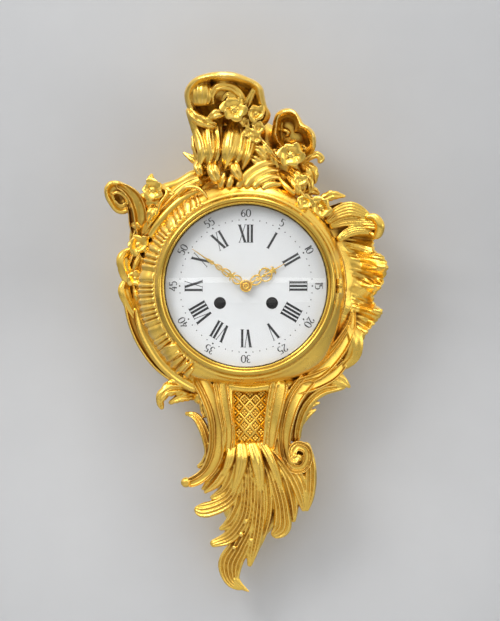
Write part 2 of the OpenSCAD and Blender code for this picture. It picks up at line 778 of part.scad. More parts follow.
module ring_screws() {
    place() color(steel) for (a = ring_as) rotate(a) translate([(tube_r + flange_r) / 2, 0, seat_z])
        difference() {
        union() {
            translate([0, 0, -4]) cylinder(r = 1.3, h = 5.4);
            translate([0, 0, 1.3]) cylinder(r = 2.2, h = 1.1);
        }
        translate([-3, -0.3, 1.9]) cube([6, 0.6, 1]);
    }
}

module hinge_pin() {
    place() color(steel) translate([hinge_x, 0, hinge_z]) rotate([90, 0, 0])
        cylinder(r = pin_r, h = 3 * knuckle_l + 0.6, center = true);
}

module glass_bezel() {
    w = bezel_w;
    h = bezel_h;
    r = dial_r + 0.2;
    place() color(gilt) difference() {
        union() {
            rotate_extrude($fn = 180) polygon([
                [r + 1.9, bezel_z], [r + w, bezel_z], [r + w, bezel_z + h * 0.18],
                [r + w * 0.95, bezel_z + h * 0.48],
                [r + w * 0.82, bezel_z + h * 0.77], [r + w * 0.63, bezel_z + h * 0.96],
                [r + w * 0.45, bezel_z + h],
                [r + w * 0.3, bezel_z + h * 0.93], [r + w * 0.21, bezel_z + h * 0.78],
                [r + w * 0.13, bezel_z + h * 0.66], [r, bezel_z + h * 0.6],
                [r, bezel_z + 4], [r + 1.9, bezel_z + 4]
            ]);
            translate([hinge_x, 0, hinge_z]) rotate([90, 0, 0])
                cylinder(r = knuckle_r, h = knuckle_l - 0.1, center = true);
            translate([bezel_r - 1.6, -knuckle_l / 2 + 0.05, bezel_z])
                cube([hinge_x - bezel_r + 1.6, knuckle_l - 0.1, 2.4]);
        }
        translate([hinge_x, 0, hinge_z]) rotate([90, 0, 0])
            cylinder(r = pin_r + fit, h = 20, center = true);
    }
}

// Radius of the glass sphere, and the height of the dome at radius r below its top
dome_r = (dial_r * dial_r + glass_rise * glass_rise) / (2 * glass_rise);
function dome(r) = dome_r - sqrt(dome_r * dome_r - r * r);

module dome_glass() {
    g = dial_r;
    top = bezel_z + 4 + dome(g);
    place() color(glassy) rotate_extrude($fn = 180) polygon(concat(
        [for (i = [0:10]) [g * i / 10, top - dome(g * i / 10)]],
        [[g + 2, bezel_z + 4], [g + 2, bezel_z + 4 - glass_t]],
        [for (i = [10:-1:0]) [g * i / 10, top - glass_t - dome(g * i / 10)]]
    ));
}

module hanging_plate() {
    place() color(brass) translate([0, hang_rise, 0]) difference() {
        translate([-hang_w / 2, -hang_h / 2, 0]) cube([hang_w, hang_h, hang_t]);
        translate([0, 0, -1]) cylinder(r = hang_hole_r, h = hang_t + 2);
        for (s = [-1, 1]) translate([s * 30, 0, -1]) cylinder(r = 2, h = hang_t + 2);
    }
}

module plate_screws() {
    place() color(steel) for (s = [-1, 1]) translate([s * 30, hang_rise, 0]) difference() {
        cylinder(r = 2, h = hang_t + 6);
        translate([-3, -0.4, -1]) cube([6, 0.8, 1.8]);
    }
}

// Castings. Angles round the case stand close together on the fluted left
flute_from = 100;
flute_to = 235;
plain_n = 28;
case_as = concat(
    [for (i = [0:2 * flute_n - 1]) flute_from + (flute_to - flute_from) * i / (2 * flute_n)],
    [for (i = [0:plain_n - 1]) flute_to + (360 + flute_from - flute_to) * i / plain_n]
);
// The foot of the case rises over the neck so that the pendulum passes below it
foot_rise = [[0, 0], [238, 0], [250, foot_z], [290, foot_z], [302, 0], [360, 0]];

function case_section(i) =
    let (a = case_as[i], d = rim_r(a) - seat_r, foot = lookup(a % 360, foot_rise))
    let (f = i < 2 * flute_n && i > 0 ? flute_h * (i % 2 == 0 ? -1 : 1) : 0)
    [for (p = [
        [open_r, seat_z - 8], [seat_r + d * 0.42 - 3, seat_z - 30],
        [seat_r + d * 0.72 - 2, seat_z - 46], [seat_r + d * 0.8 - 3, foot],
        [seat_r + d * 0.8, foot],
        [seat_r + d, seat_z - 45], [seat_r + d - 1, lip_z], [seat_r + d * 0.8, lip_z - 4],
        [seat_r + d * 0.52, seat_z - 25], [seat_r + d * 0.42, seat_z - 11 + f],
        [seat_r + d * 0.1, seat_z - 3 + f * 0.6],
        [seat_r, seat_z], [open_r, seat_z]
    ]) [p[0] * cos(a), p[0] * sin(a), p[1]]];

// The same front with the hollow behind it filled, for castings that are seated on it
function case_front(i) =
    let (q = case_section(i), n = len(q), a = case_as[i])
    concat(
        [[open_r * cos(a), open_r * sin(a), -2], [q[n - 8][0], q[n - 8][1], -2]],
        [for (k = [n - 8:n - 1]) q[k]]
    );

// Folds of the shell at the lower left, as [x, y, x, y]
folds = [[-70, -69, -79, -80], [-64, -76, -70, -88], [-57, -82, -61, -94], [-76, -61, -87, -71]];

module case_folds() {
    for (f = folds) {
        a = out([f[0], f[1]]);
        b = out([f[2], f[3]]);
        bead([a[0], a[1], case_z(a[0], a[1]) - 1], [b[0], b[1], case_z(b[0], b[1]) - 1], 3, 4);
    }
}

// The screw bosses of the hanging plate reach to the wall of the case
boss_a = 71.6;
boss_p = polar(seat_r + (rim_r(boss_a) - seat_r) * 0.8, boss_a);

module case_body() {
    place() color(gilt) difference() {
        union() {
            skin([for (i = [0:len(case_as) - 1]) case_section(i)], true);
            case_folds();
            left_raw();
            wing_raw();
            for (s = [-1, 1]) hull() {
                translate([s * 30, hang_rise, hang_t]) cylinder(r = 6, h = 10, $fn = 8);
                translate([s * boss_p[0], boss_p[1], hang_t]) cylinder(r = 5, h = 10, $fn = 8);
            }
        }
        translate([-hang_w / 2 - fit, hang_rise - hang_h / 2 - fit, -1])
            cube([hang_w + 2 * fit, hang_h + 2 * fit, hang_t + 1]);
        for (s = [-1, 1]) translate([s * 30, hang_rise, 0]) cylinder(r = 2.2, h = hang_t + 7, $fn = 10);
        for (a = ring_as) rotate(a) translate([(tube_r + flange_r) / 2, 0, seat_z - 4.4])
            cylinder(r = 1.45, h = 6, $fn = 10);
    }
}

// Everything that a casting on the case front is cut back to
module case_room() {
    skin([for (i = [0:len(case_as) - 1]) case_front(i)], true);
    case_folds();
    left_raw();
    wing_raw();
    front_room();
}

// Room that the dial ring, the bezel and its hinge keep free
module front_room() {
    translate([0, 0, seat_z]) cylinder(r = bezel_r + 1, h = 60, $fn = 96);
    translate([hinge_x - 4, -3 * knuckle_l / 2 - 1, seat_z]) cube([knuckle_r + 6, 3 * knuckle_l + 2, 20]);
}

// Leaf wing at the right: [angle of the inner edge, x, y and z of the outer edge]
wing_edge = [
    [-47, 88, -88, 54], [-43, 98, -84, 60], [-38, 108, -77, 58], [-33, 113, -66, 64], [-28, 118, -56, 58],
    [-22, 125, -44, 66], [-17, 132, -36, 60], [-12, 138, -24, 72], [-8, 130, -18, 62], [-4, 130, -10, 58],
    [1, 137, -1, 68], [7, 140, 8, 64], [12, 143, 20, 74], [17, 139, 30, 72], [22, 131, 36, 66],
    [27, 130, 47, 60], [33, 136, 61, 72], [37, 124, 72, 68], [42, 110, 79, 60], [47, 96, 85, 66],
    [50, 84, 79, 62]
];

// Distance of the inner edge of the wing from the opening
wing_in = 17;
module wing_raw() {
    path = curve(wing_edge, 26);
    skin([
        for (p = path)
            let (u = polar(open_r + wing_in, p[0]), e = out([p[1], p[2]]))
            let (m1 = u + (e - u) * 0.35, m2 = u + (e - u) * 0.75)
            [
                [u[0], u[1], 40], [m2[0], m2[1], p[3] - 12], [e[0], e[1], p[3] - 5], [e[0], e[1], p[3]],
                [m2[0], m2[1], p[3] - 2], [m1[0], m1[1], 58], [u[0], u[1], 62]
            ]
    ]);
}

// Strands of the castings as [x, y, z, half width, half thickness]
left_lines = [
    [[-103, 50, 56, 6, 7], [-108, 68, 58, 7.5, 8], [-113, 84, 60, 8, 8], [-123, 95, 62, 8.5, 8],
        [-133.5, 94, 62, 8, 7], [-134, 83, 60, 6.5, 6], [-127, 77, 58, 5, 5]],
    [[-110, 64, 52, 6, 6], [-113.5, 52, 52, 5, 6], [-113, 40, 50, 5, 6], [-112, 29, 48.4, 3, 5]],
    [[-116, 38, 50, 3, 4], [-122, 26, 52, 7, 6], [-121, 12, 52, 6.5, 6], [-121, 0, 52, 6.5, 6],
        [-118, -14, 50, 5.5, 6], [-113, -30, 48, 3.5, 5]],
    [[-58, -107, 48, 7, 7], [-71, -103, 53, 7, 7], [-82, -106, 56, 7, 6], [-86, -115, 56, 5.5, 5],
        [-84, -124, 54, 2.5, 3]],
    [[-54, -112, 48, 5, 5], [-67, -116, 51, 4.5, 4], [-80, -120, 52, 1.5, 2.5]]
];
left_beads = [
    [[-125, 86, 56], [-125, 86, 66], 7, 5], [[-104, 55.3, 50], [-106, 44, 52.4], 6, 5.2],
    [[-118, 30, 46], [-123, 24, 55], 4, 3], [[-118, 4, 46], [-124, -2, 54], 4, 3],
    [[-112, -19.5, 46], [-116, -24, 51.5], 4, 3.3], [[-70, -104, 46], [-80, -108, 57], 5, 4]
];

module left_raw() {
    for (s = left_lines) strand(moved(s));
    for (b = left_beads) bead(out(b[0]), out(b[1]), b[2], b[3]);
}

// Neck channel: [y, left, right, front]
neck_rows = [
    [-166, -38, 46, 64], [-157, -38, 46, 69], [-140, -40, 47, 70], [-125, -42, 50, 70],
    [-110, -46, 54, 70], [-94, -50, 58, 70]
];
window = [[-13, -104], [21, -104], [17, -156], [-10, -152]];
neck_lines = [
    [[-62, -128.5, 48, 1.5, 2.5], [-52, -132, 52, 4, 5], [-44, -141, 54, 5, 6], [-39, -154, 54, 5, 6],
        [-38, -166, 54, 5, 6], [-41, -176, 52, 4.5, 5], [-49, -181, 50, 2, 3]],
    [[-47, -94, 62, 5, 6], [-37, -110, 66, 6, 6], [-30, -130, 66, 6, 6], [-28, -150, 64, 6, 6],
        [-31, -172, 60, 6, 6],
        [-42, -188, 56, 5, 6], [-52, -194.5, 54, 5.5, 6], [-59, -196.5, 52, 4.5, 5]],
    [[-18, -99, 69, 3, 4], [-17, -125, 70, 3, 4], [-14, -148, 68, 3, 4], [-14, -163, 64, 2.5, 4]],
    [[-25, -99, 68, 3, 4], [-23, -125, 69, 2.8, 4], [-19.5, -148, 67, 3, 4], [-20, -163, 63, 2.5, 4]],
    [[26, -99, 69, 3, 4], [24, -125, 70, 3, 4], [21, -148, 68, 3, 4], [19, -163, 64, 2.5, 4]],
    [[38, -98, 66, 6, 5], [32, -122, 68, 5, 5], [28, -145, 66, 5, 5], [26, -165, 62, 4, 4]],
    [[58, -101, 60, 6, 6], [46, -115, 62, 6, 6], [39, -136, 62, 5.5, 6], [38, -155, 60, 5, 6],
        [41, -172, 58, 5, 6],
        [47, -182, 60, 5, 5], [56, -182, 62, 5, 5], [62, -173, 64, 5, 5], [60, -163, 66, 5, 5],
        [51, -159, 66, 4.5, 5],
        [45, -166, 66, 4, 4], [48, -173, 68, 3.5, 4], [53, -171, 70, 3, 4]],
    [[104, -102, 54, 2, 3], [92, -101, 54, 5, 5], [78, -104, 54, 6, 6], [64, -113, 53, 6, 6],
        [54, -126, 52, 6, 6],
        [49, -142, 52, 6, 6], [48, -156, 54, 5, 5]],
    [[82, -88, 52, 7, 6], [92, -93, 56, 6, 6], [100, -99, 57, 4, 4], [106, -103, 56, 1, 2]],
    [[52, -130, 48, 5, 5], [65, -121, 50, 3.5, 3.5], [75, -118, 50, 1, 2]],
    [[50, -142, 48, 5, 5], [62, -132, 50, 3.5, 3.5], [71, -125, 50, 1, 2]]
];
neck_beads = [
    [[-59, -196.5, 50], [-61, -196.5, 53], 4, 3.5], [[52, -171, 56], [52, -171, 70], 6, 3],
    [[-38, -160, 40], [-38, -166, 50], 6, 5], [[44, -158, 40], [42, -168, 52], 6, 5],
    [[48, -140, 40], [50, -132, 48], 6, 5], [[60, -116, 40], [70, -109, 48], 5, 5],
    [[-44, -112, 40], [-40, -116, 58], 5, 5], [[42, -112, 50], [44, -118, 58], 5, 5]
];

module neck_raw() {
    skin([
        for (r = neck_rows) let (y = r[0], a = r[1], b = r[2], f = r[3]) [
            for (p = [
                [a, 0], [a + 3, 0], [a + 3, 32], [a + 11, 50], [-16, f - 6], [25, f - 6], [b - 11, 50],
                [b - 3, 32], [b - 3, 0], [b, 0], [b, 36], [b - 8, 56], [27, f], [-18, f], [a + 8, 56],
                [a, 36]
            ]) [p[0], y, p[1]]
        ]
    ]);
    for (s = neck_lines) strand(s);
    for (b = neck_beads) bead(b[0], b[1], b[2], b[3]);
}

// Lattice of the neck, lying against the back of its window
trellis_z = 64;
window_fit = 0.25;
trellis_edge = [[-15.5, -103], [24.5, -103], [20, -160], [-13, -160]];
module trellis_panel() {
    mid = [4, -128];
    place() color(gilt) translate([0, -spread, 0]) {
        translate([0, 0, trellis_z - 2]) linear_extrude(2) polygon(trellis_edge);
        translate([0, 0, trellis_z - 0.5]) linear_extrude(2.1) intersection() {
            polygon([for (p = window) p + window_fit * [sign(mid[0] - p[0]), sign(mid[1] - p[1])]]);
            union() {
                for (i = [-6:6]) translate(mid) {
                    rotate(52) translate([-60, i * 8.4 - 0.7]) square([120, 1.4]);
                    rotate(-52) translate([-60, i * 8.4 - 0.7]) square([120, 1.4]);
                }
            }
        }
    }
}

// Tail: core rows [y, middle, half width, back, front] and strands
tail_rows = [
    [-275, -12, 9, 14, 30], [-258, -2, 15, 14, 36], [-240, 6, 24, 12, 40], [-220, 10, 36, 10, 46],
    [-200, 12, 42, 8, 50], [-180, 10, 38, 6, 54], [-160, 5, 30, 8, 56]
];
tail_lines = [
    [[-14, -160, 60, 3, 5], [-19, -180, 60, 3.5, 5], [-29, -196, 58, 4, 5], [-41, -206, 54, 2, 3]],
    [[-11, -160, 60, 3, 5], [-13, -185, 60, 4, 6], [-21, -202, 56, 4.5, 5], [-35, -212, 52, 2, 3]],
    [[-8, -160, 61, 3, 5], [-8, -190, 58, 5, 6], [-17, -212, 54, 6, 6], [-32, -221, 52, 6.5, 5],
        [-46, -223.5, 50, 6, 4],
        [-52, -222, 49, 3, 3]],
    [[-5, -159, 61, 3, 5], [-3, -195, 58, 4.5, 6], [-8, -222, 52, 5, 6], [-18, -238, 46, 4.5, 5],
        [-26, -243, 44, 2, 3]],
    [[-2, -159.4, 62, 3, 5], [1, -200, 58, 5, 6], [-5, -235, 48, 6, 6], [-18, -251, 42, 6, 5],
        [-35, -258, 40, 3.5, 3]],
    [[1, -160, 62, 3, 5], [7, -200, 58, 5, 6], [3, -240, 46, 7, 6], [-8, -262, 38, 9, 6],
        [-16, -279, 32, 10.5, 6],
        [-13, -294, 30, 7.5, 5], [-4, -302, 32, 3.5, 3]],
    [[4, -160, 62, 3, 5], [13, -200, 58, 5, 6], [11, -240, 46, 6, 6], [7, -262, 38, 5.5, 5],
        [3, -280, 34, 2, 3]],
    [[8, -160, 61, 3, 5], [20, -200, 57, 5, 6], [20, -228, 49, 5.5, 6], [15, -248, 42, 5, 5],
        [9, -268, 37, 2, 3]],
    [[13, -160, 61, 3, 5], [30, -198, 56, 5.5, 6], [36, -225, 50, 6.5, 6], [35, -242, 46, 8, 5],
        [27, -250, 44, 4, 3]],
    [[18, -160, 60, 3, 5], [40, -195, 56, 5.5, 6], [46, -218, 50, 6, 6], [47, -236, 47, 2.5, 3]],
    [[24, -162, 58, 3, 5], [48, -192, 56, 5.5, 6], [56, -212, 52, 5, 5], [58, -224, 50, 2.5, 3]],
    [[58, -160, 56, 5, 5], [63.5, -178, 58, 5, 6], [64, -198, 56, 5, 6], [62, -216, 53, 3.5, 4],
        [59, -224, 51, 2, 3]],
    [[46, -160, 44, 8, 8], [54, -178, 44, 9, 9], [55, -198, 42, 9, 9], [52, -214, 40, 7, 7]]
];
tail_beads = [
    [[1, -232, 50], [0, -238, 52], 2.6, 2.4], [[-4, -245, 46], [-6, -250, 48], 2.4, 2.2],
    [[-11, -259, 42], [-13, -263, 43], 2.2, 2], [[-47, -223.5, 44], [-51, -222, 49], 4, 3],
    [[56, -220, 44], [58, -224, 49], 4, 2.5], [[44, -232, 40], [47, -236, 45], 4, 2.5],
    [[30, -244, 38], [28, -249, 43], 5, 3.5], [[-30, -254, 36], [-35, -258, 39], 4, 3],
    [[-8, -298, 26], [-4, -302, 31], 4, 2.5]
];

module tail_raw() {
    skin([
        for (r = tail_rows) [
            for (p = [[-0.7, 0], [0.7, 0], [1, 0.5], [0.7, 1], [-0.7, 1], [-1, 0.5]])
                [r[1] + p[0] * r[2], r[0], r[3] + (r[4] - r[3]) * p[1]]
        ]
    ]);
    for (s = tail_lines) strand(s);
    for (b = tail_beads) bead(b[0], b[1], b[2], b[3]);
}

// Neck and tail are one casting, open behind for the pendulum
module neck_casting() {
    place() color(gilt) difference() {
        translate([0, -spread, 0]) difference() {
            union() {
                neck_raw();
                tail_raw();
            }
            translate([0, 0, trellis_z - 4]) linear_extrude(30) polygon(window);
            translate([-35, -162, -1]) cube([78, 78, 44]);
            translate([0, 0, 30]) linear_extrude(trellis_z - 30) polygon(trellis_edge);
        }
        case_room();
    }
}

// Crest: cores as rows [y, middle, half width, back, front] and strands
crest_rows = [
    [106, -10, 36, 20, 60], [125, -15, 34, 22, 68], [145, -13, 34, 26, 70], [160, -15, 34, 30, 66],
    [174, -18, 28, 34, 60]
];
small_rows = [[118, 44, 16, 22, 56], [130, 46, 18, 24, 54], [141, 47, 15, 28, 48]];
// Rims of the two hollow hoods
great_rim = [
    [-50, 163, 74], [-57, 174, 78], [-61, 184, 82], [-62, 193, 87], [-58, 202, 93], [-50, 208.5, 98],
    [-39, 212, 101], [-25, 213.5, 103], [-11, 212.5, 102], [1, 208.5, 99], [11, 204, 96], [17, 198, 92],
    [19, 189, 88], [21, 181, 84], [25, 173, 78], [20, 163, 70], [4, 159, 66], [-16, 158, 66], [-36, 158, 68]
];
small_rim = [
    [27, 166, 74], [30, 174, 77], [36, 178, 80], [42, 179, 82], [49, 176.5, 84], [54, 170, 86],
    [58, 163, 88], [64, 159, 90], [69, 153, 90], [70.5, 145, 88], [69, 136, 82], [60, 131, 70],
    [44, 132, 64], [32, 140, 64], [26, 152, 68]
];
// Rings of a hood, from its back over the lip to its floor:
// [inset in distances from the centre, inset in lips, share of back, share of floor, rise in lips]
hood_rings = [
    [0.45, 0, 1, 0, 0], [0.2, 0, 0.6, 0, 0], [0, 0.35, 0, 0, -1], [0, 0, 0, 0, 0],
    [0, 0.55, 0, 0, 0.8], [0, 1.15, 0, 0.15, 0], [0.08, 1.6, 0, 0.85, 0], [0.55, 0, 0, 1, 0]
];
module hood(rim, c, back, base, lip) {
    skin([
        for (k = hood_rings) [
            for (p = rim)
                let (d = [p[0], p[1]] - c, q = c + d * (1 - k[0] - k[1] * lip / norm(d)))
                [q[0], q[1], p[2] + k[2] * (back - p[2]) + k[3] * (base - p[2]) + k[4] * lip]
        ]
    ]);
}
crest_lines = [
    [[-10, 168, 40, 20, 10], [10, 150, 40, 22, 10], [34, 138, 40, 20, 10]],
    [[-34, 184, 78, 4, 5], [-31, 197, 86, 4.5, 5], [-18, 198.5, 88, 4.5, 5], [-6, 192, 84, 4, 5],
        [-1, 182, 78, 2, 4]],
    [[-47, 160, 72, 5, 6], [-42, 147, 76, 5, 6], [-42, 132, 76, 5, 6], [-44, 119, 72, 3, 5]],
    [[-38, 163, 74, 4.5, 6], [-35, 147, 79, 4.5, 6], [-35.5, 130, 78, 4.5, 6], [-38, 117, 72, 3, 5]],
    [[-28, 163, 74, 5, 6], [-27, 146, 81, 5, 6], [-27, 131, 80, 5, 6], [-30, 117, 74, 3, 5]],
    [[-18, 162, 74, 4.5, 6], [-16.5, 146, 80, 4.5, 6], [-18, 131, 80, 4.5, 6], [-20, 117, 76, 3, 5]],
    [[-9, 164, 74, 5.5, 6], [-7, 146, 80, 5.5, 6], [-9, 132, 80, 5, 6], [-12, 117, 76, 3, 5]],
    [[2, 162, 72, 5, 6], [3, 145, 77, 5, 6], [2, 131, 77, 5, 6], [-2, 116, 74, 3, 5]],
    [[-42, 126, 68, 5, 5], [-50, 138, 70, 5, 4], [-53, 152, 68, 2, 3]],
    [[-40, 119, 66, 5, 5], [-53, 128, 68, 4, 4], [-63, 135, 66, 1, 2]],
    [[-22, 175, 84, 3, 4], [-30, 172, 86, 5, 4], [-38, 167, 80, 1.5, 3]],
    [[0, 177, 78, 3, 4], [4, 188, 84, 4, 4], [10, 198, 86, 1.5, 3]],
    [[-38, 116, 58, 6, 7], [-54, 111.5, 60, 6, 7], [-68, 103.5, 60, 6, 7], [-82, 99, 60, 5.5, 7],
        [-92, 97, 60, 4, 6]],
    [[-34, 116, 62, 3, 5], [-48, 104, 69, 3, 5], [-62, 96, 70, 3, 4], [-69, 88, 70, 2, 3]],
    [[-38, 120, 74, 3, 4], [-36, 111, 82, 4, 4], [-28, 108, 86, 4, 4], [-23, 113, 86, 3, 3]],
    [[-20, 118, 76, 3, 4], [-17, 110, 84, 4, 4], [-10, 109, 88, 4, 4], [-6, 115, 86, 3, 3]],
    [[-19, 95, 88, 3, 5], [-17, 104, 88, 3.5, 5], [-13, 119, 70, 2.5, 6]],
    [[-9, 95, 88, 3, 5], [-6, 105, 89, 4, 5], [-2, 121, 70, 3, 6]],
    [[1, 95, 88, 3, 5], [5, 106, 89, 4, 5], [8, 123, 70, 3, 6]],
    [[11, 95, 88, 3, 5], [15, 105, 88, 4, 5], [18, 123, 66, 3, 6]],
    [[21, 94, 88, 3, 5], [25, 103, 86, 4, 5], [26, 120, 62, 3, 6]]
];
crest_leaves = [
    [[12, 149.4, 73, 2, 4], [22, 138, 77, 3.5, 4], [34, 126, 74, 1.5, 3]],
    [[16.8, 141.6, 69, 2, 4], [25, 131, 74, 3.5, 4], [33, 119, 70, 1.5, 3]],
    [[66, 134, 66, 4, 6], [74, 133, 70, 4.5, 6], [75, 125, 72, 4.5, 6], [68, 123, 70, 3.5, 5]],
    [[54, 122, 60, 4, 5], [63, 120, 62, 5, 5], [71, 121, 61, 1.5, 3]]
];
crest_beads = [
    [[-44, 193, 70], [-43, 191, 88], 12, 10.5], [[-12, 178, 62], [-12, 178, 82], 9, 6],
    [[12, 172, 60], [12, 171, 76], 7, 5],
    [[10, 148, 62], [10, 148, 80], 6, 4.5], [[40, 160, 44], [44, 150, 56], 9, 9],
    [[20, 128, 50], [24.6, 118.4, 65.4], 10, 8],
    [[-28, 102, 58], [22, 102, 58], 6, 6], [[12, 158, 60], [12, 158, 74], 6, 4],
    [[45, 132, 50], [45, 132, 70], 9, 7], [[64, 118, 52], [71, 128, 66], 7, 5]
];

crest_flowers = [[-12, 178, 88, 12.5, 90], [11, 171, 80, 8, 20], [12, 158, 78, 6.5, 50],
    [45, 132, 76, 12, 40]];

module block(rows) {
    skin([
        for (r = rows) [
            for (p = [[-0.8, 0], [0.8, 0], [1, 0.5], [0.8, 1], [-0.8, 1], [-1, 0.5]])
                [r[1] + p[0] * r[2], r[0], r[3] + (r[4] - r[3]) * p[1]]
        ]
    ]);
}

module crest_raw() {
    translate([0, spread, 0]) {
        block(crest_rows);
        block(small_rows);
        hood(great_rim, [-21, 186], 34, 62, 7);
        hood(small_rim, [47, 154], 30, 52, 4.8);
        for (s = crest_lines) strand(s);
        for (s = crest_leaves) strand(s, blade);
        for (b = crest_beads) bead(b[0], b[1], b[2], b[3], b[2] > 10 ? 10 : 6);
        for (f = crest_flowers) flower(f[0], f[1], f[2], f[3], f[4]);
    }
}

module crest_scroll() {
    place() color(gilt) difference() {
        crest_raw();
        case_room();
        translate([-hang_w / 2 - 1, hang_rise - 10, -1]) cube([hang_w + 2, 20, 18]);
    }
}

// Garlands of flowers, leaves and stems, and the ways that they move out with the case
right_a = 52;
left_a = 158;
right_lines = [
    [[56, 108, 66, 4, 5], [65, 107, 66, 6, 5], [72, 103, 64, 1.5, 3]],
    [[38, 108, 70, 3, 5], [45, 98, 78, 3, 5], [53, 89, 80, 3, 5], [60, 82, 78, 3, 5]],
    [[72, 84, 64, 4, 5], [86, 91, 66, 5, 4], [100, 91, 64, 1, 2]],
    [[60, 92, 72, 3, 5], [68, 96, 70, 5, 5], [78, 100, 64, 1.5, 3]]
];
right_flowers = [[53, 104, 76, 10, 14], [59, 85, 86, 8, 60], [76, 79, 74, 10, 30]];
right_beads = [
    [[53, 104, 50], [53, 104, 72], 8, 6], [[60, 85, 60], [60, 85, 78], 6, 5],
    [[75.4, 78.3, 48], [75.6, 78.6, 66], 7.6, 5.5], [[60, 96, 56], [66, 88, 60], 7, 7]
];
left_garland_lines = [
    [[-94, 102, 66, 4, 5], [-96, 108, 68, 4, 4], [-95, 113, 66, 1, 2]],
    [[-92, 90, 62, 4, 5], [-95, 82, 66, 6, 5], [-98, 74, 62, 2, 3]],
    [[-96, 78, 63, 3, 5], [-101, 64, 67, 3, 5], [-108, 47, 63, 3, 5]],
    [[-109, 36, 54, 3, 5], [-112, 24, 58, 5, 5], [-112, 12, 58, 2, 4]],
    [[-112, 2, 54, 3, 5], [-109, -10, 58, 4.5, 5], [-105, -22, 56, 1.5, 3]],
    [[-105, 40, 58, 3, 4], [-99, 34, 64, 4, 4], [-97, 26, 62, 1, 2]],
    [[-106, 4, 58, 3, 4], [-101, -4, 62, 3.5, 4], [-99, -14, 60, 1, 2]],
    [[-86, 100, 62, 4, 5], [-78, 95, 66, 4.5, 4], [-71, 94, 66, 1.5, 3]]
];
left_flowers = [[-94, 97, 70, 10, 90], [-108, 43, 62, 10, 20], [-111, 8, 60, 8, 60]];
left_garland_beads = [
    [[-94, 97, 46], [-94, 97, 64], 7, 5], [[-108, 43, 57], [-108, 43, 60], 4, 4],
    [[-111, 8, 44], [-111, 8, 54], 6, 5],
    [[-96, 84, 48], [-97, 76, 58], 6, 5], [[-104, 58, 60], [-107, 50, 60], 4, 4],
    [[-112, 28, 46], [-112, 18, 54], 5, 5],
    [[-110, -4, 46], [-107, -14, 54], 5, 4], [[-84, 98, 50], [-78, 94, 60], 5, 5]
];

module right_garland() {
    place() color(gilt) difference() {
        translate(polar(spread, right_a)) union() {
            for (s = right_lines) strand(s, blade);
            for (f = right_flowers) flower(f[0], f[1], f[2], f[3], f[4]);
            for (b = right_beads) bead(b[0], b[1], b[2], b[3]);
        }
        case_room();
        // The garland ends above the lip of the case
        cube([2 * open_r, 2 * open_r, lip_z + 0.3]);
    }
}

module left_garland() {
    place() color(gilt) difference() {
        translate(polar(spread, left_a)) union() {
            for (s = left_garland_lines) strand(s, blade);
            for (f = left_flowers) flower(f[0], f[1], f[2], f[3], f[4]);
            for (b = left_garland_beads) bead(b[0], b[1], b[2], b[3]);
        }
        case_room();
        crest_raw();
    }
}

case_body();
neck_casting();
trellis_panel();
crest_scroll();
left_garland();
right_garland();
hanging_plate();
plate_screws();
dial_ring();
ring_screws();
hinge_pin();
dial_pan();
enamel_dial();
glass_bezel();
dome_glass();
hour_hand();
minute_hand();
hand_collet();
cannon_pinion();
minute_wheel();
hour_wheel();
minute_stud();
front_plate();
back_plate();
plate_pillars();
pillar_nuts();
going_barrel();
going_winder();
going_click();
intermediate_wheel();
centre_wheel();
third_wheel();
escape_wheel();
pallet_anchor();
back_cock();
cock_screws();
suspension_spring();
pendulum_rod();
pendulum_bob();
rating_nut();
strike_barrel();
strike_winder();
strike_click();
strike_second();
count_wheel();
pin_wheel();
warning_wheel();
fly();
hammer();
bell_stand();
bell();
bell_nut();
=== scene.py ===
"""Gilt cartel clock: finer castings, dial, hands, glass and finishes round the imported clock."""
import math

import bmesh
import bpy
import numpy as np
from bpy.props import FloatProperty, FloatVectorProperty, IntProperty, PointerProperty
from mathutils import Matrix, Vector


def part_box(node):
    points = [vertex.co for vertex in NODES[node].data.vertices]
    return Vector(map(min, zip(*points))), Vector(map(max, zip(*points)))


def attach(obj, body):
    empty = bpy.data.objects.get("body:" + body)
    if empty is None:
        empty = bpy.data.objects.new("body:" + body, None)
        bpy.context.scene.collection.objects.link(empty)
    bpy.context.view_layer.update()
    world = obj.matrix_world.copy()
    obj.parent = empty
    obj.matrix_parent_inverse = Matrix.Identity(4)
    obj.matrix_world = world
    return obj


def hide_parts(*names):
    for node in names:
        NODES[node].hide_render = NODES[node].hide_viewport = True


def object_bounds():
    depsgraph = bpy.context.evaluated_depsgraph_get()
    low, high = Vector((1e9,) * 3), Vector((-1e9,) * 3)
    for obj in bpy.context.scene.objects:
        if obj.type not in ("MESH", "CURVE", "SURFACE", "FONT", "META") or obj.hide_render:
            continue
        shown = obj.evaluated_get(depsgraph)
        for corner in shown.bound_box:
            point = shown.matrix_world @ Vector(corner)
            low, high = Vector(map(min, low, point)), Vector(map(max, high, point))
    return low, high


bl_info = {
    "name": "Cartel Clock",
    "version": (1, 0, 0),
    "blender": (4, 5, 0),
    "location": "View3D > Sidebar > Clock",
    "description": "Builds the castings, dial, hands, glass and finishes of a gilt wall clock",
    "category": "Object",
}

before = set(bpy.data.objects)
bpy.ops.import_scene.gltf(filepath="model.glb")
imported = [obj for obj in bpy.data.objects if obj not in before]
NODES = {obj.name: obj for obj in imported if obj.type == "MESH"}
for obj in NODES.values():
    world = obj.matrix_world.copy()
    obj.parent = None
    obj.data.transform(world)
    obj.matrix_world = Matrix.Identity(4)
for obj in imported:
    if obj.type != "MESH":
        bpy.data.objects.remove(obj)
CAD_BOX = [list(corner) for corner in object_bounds()]
DIAL_LOW, DIAL_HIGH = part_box("enamel_dial")
CENTRE_X = (DIAL_LOW[0] + DIAL_HIGH[0]) / 2
CENTRE_Z = (DIAL_LOW[2] + DIAL_HIGH[2]) / 2
DIAL_R = (DIAL_HIGH[0] - DIAL_LOW[0]) * 500
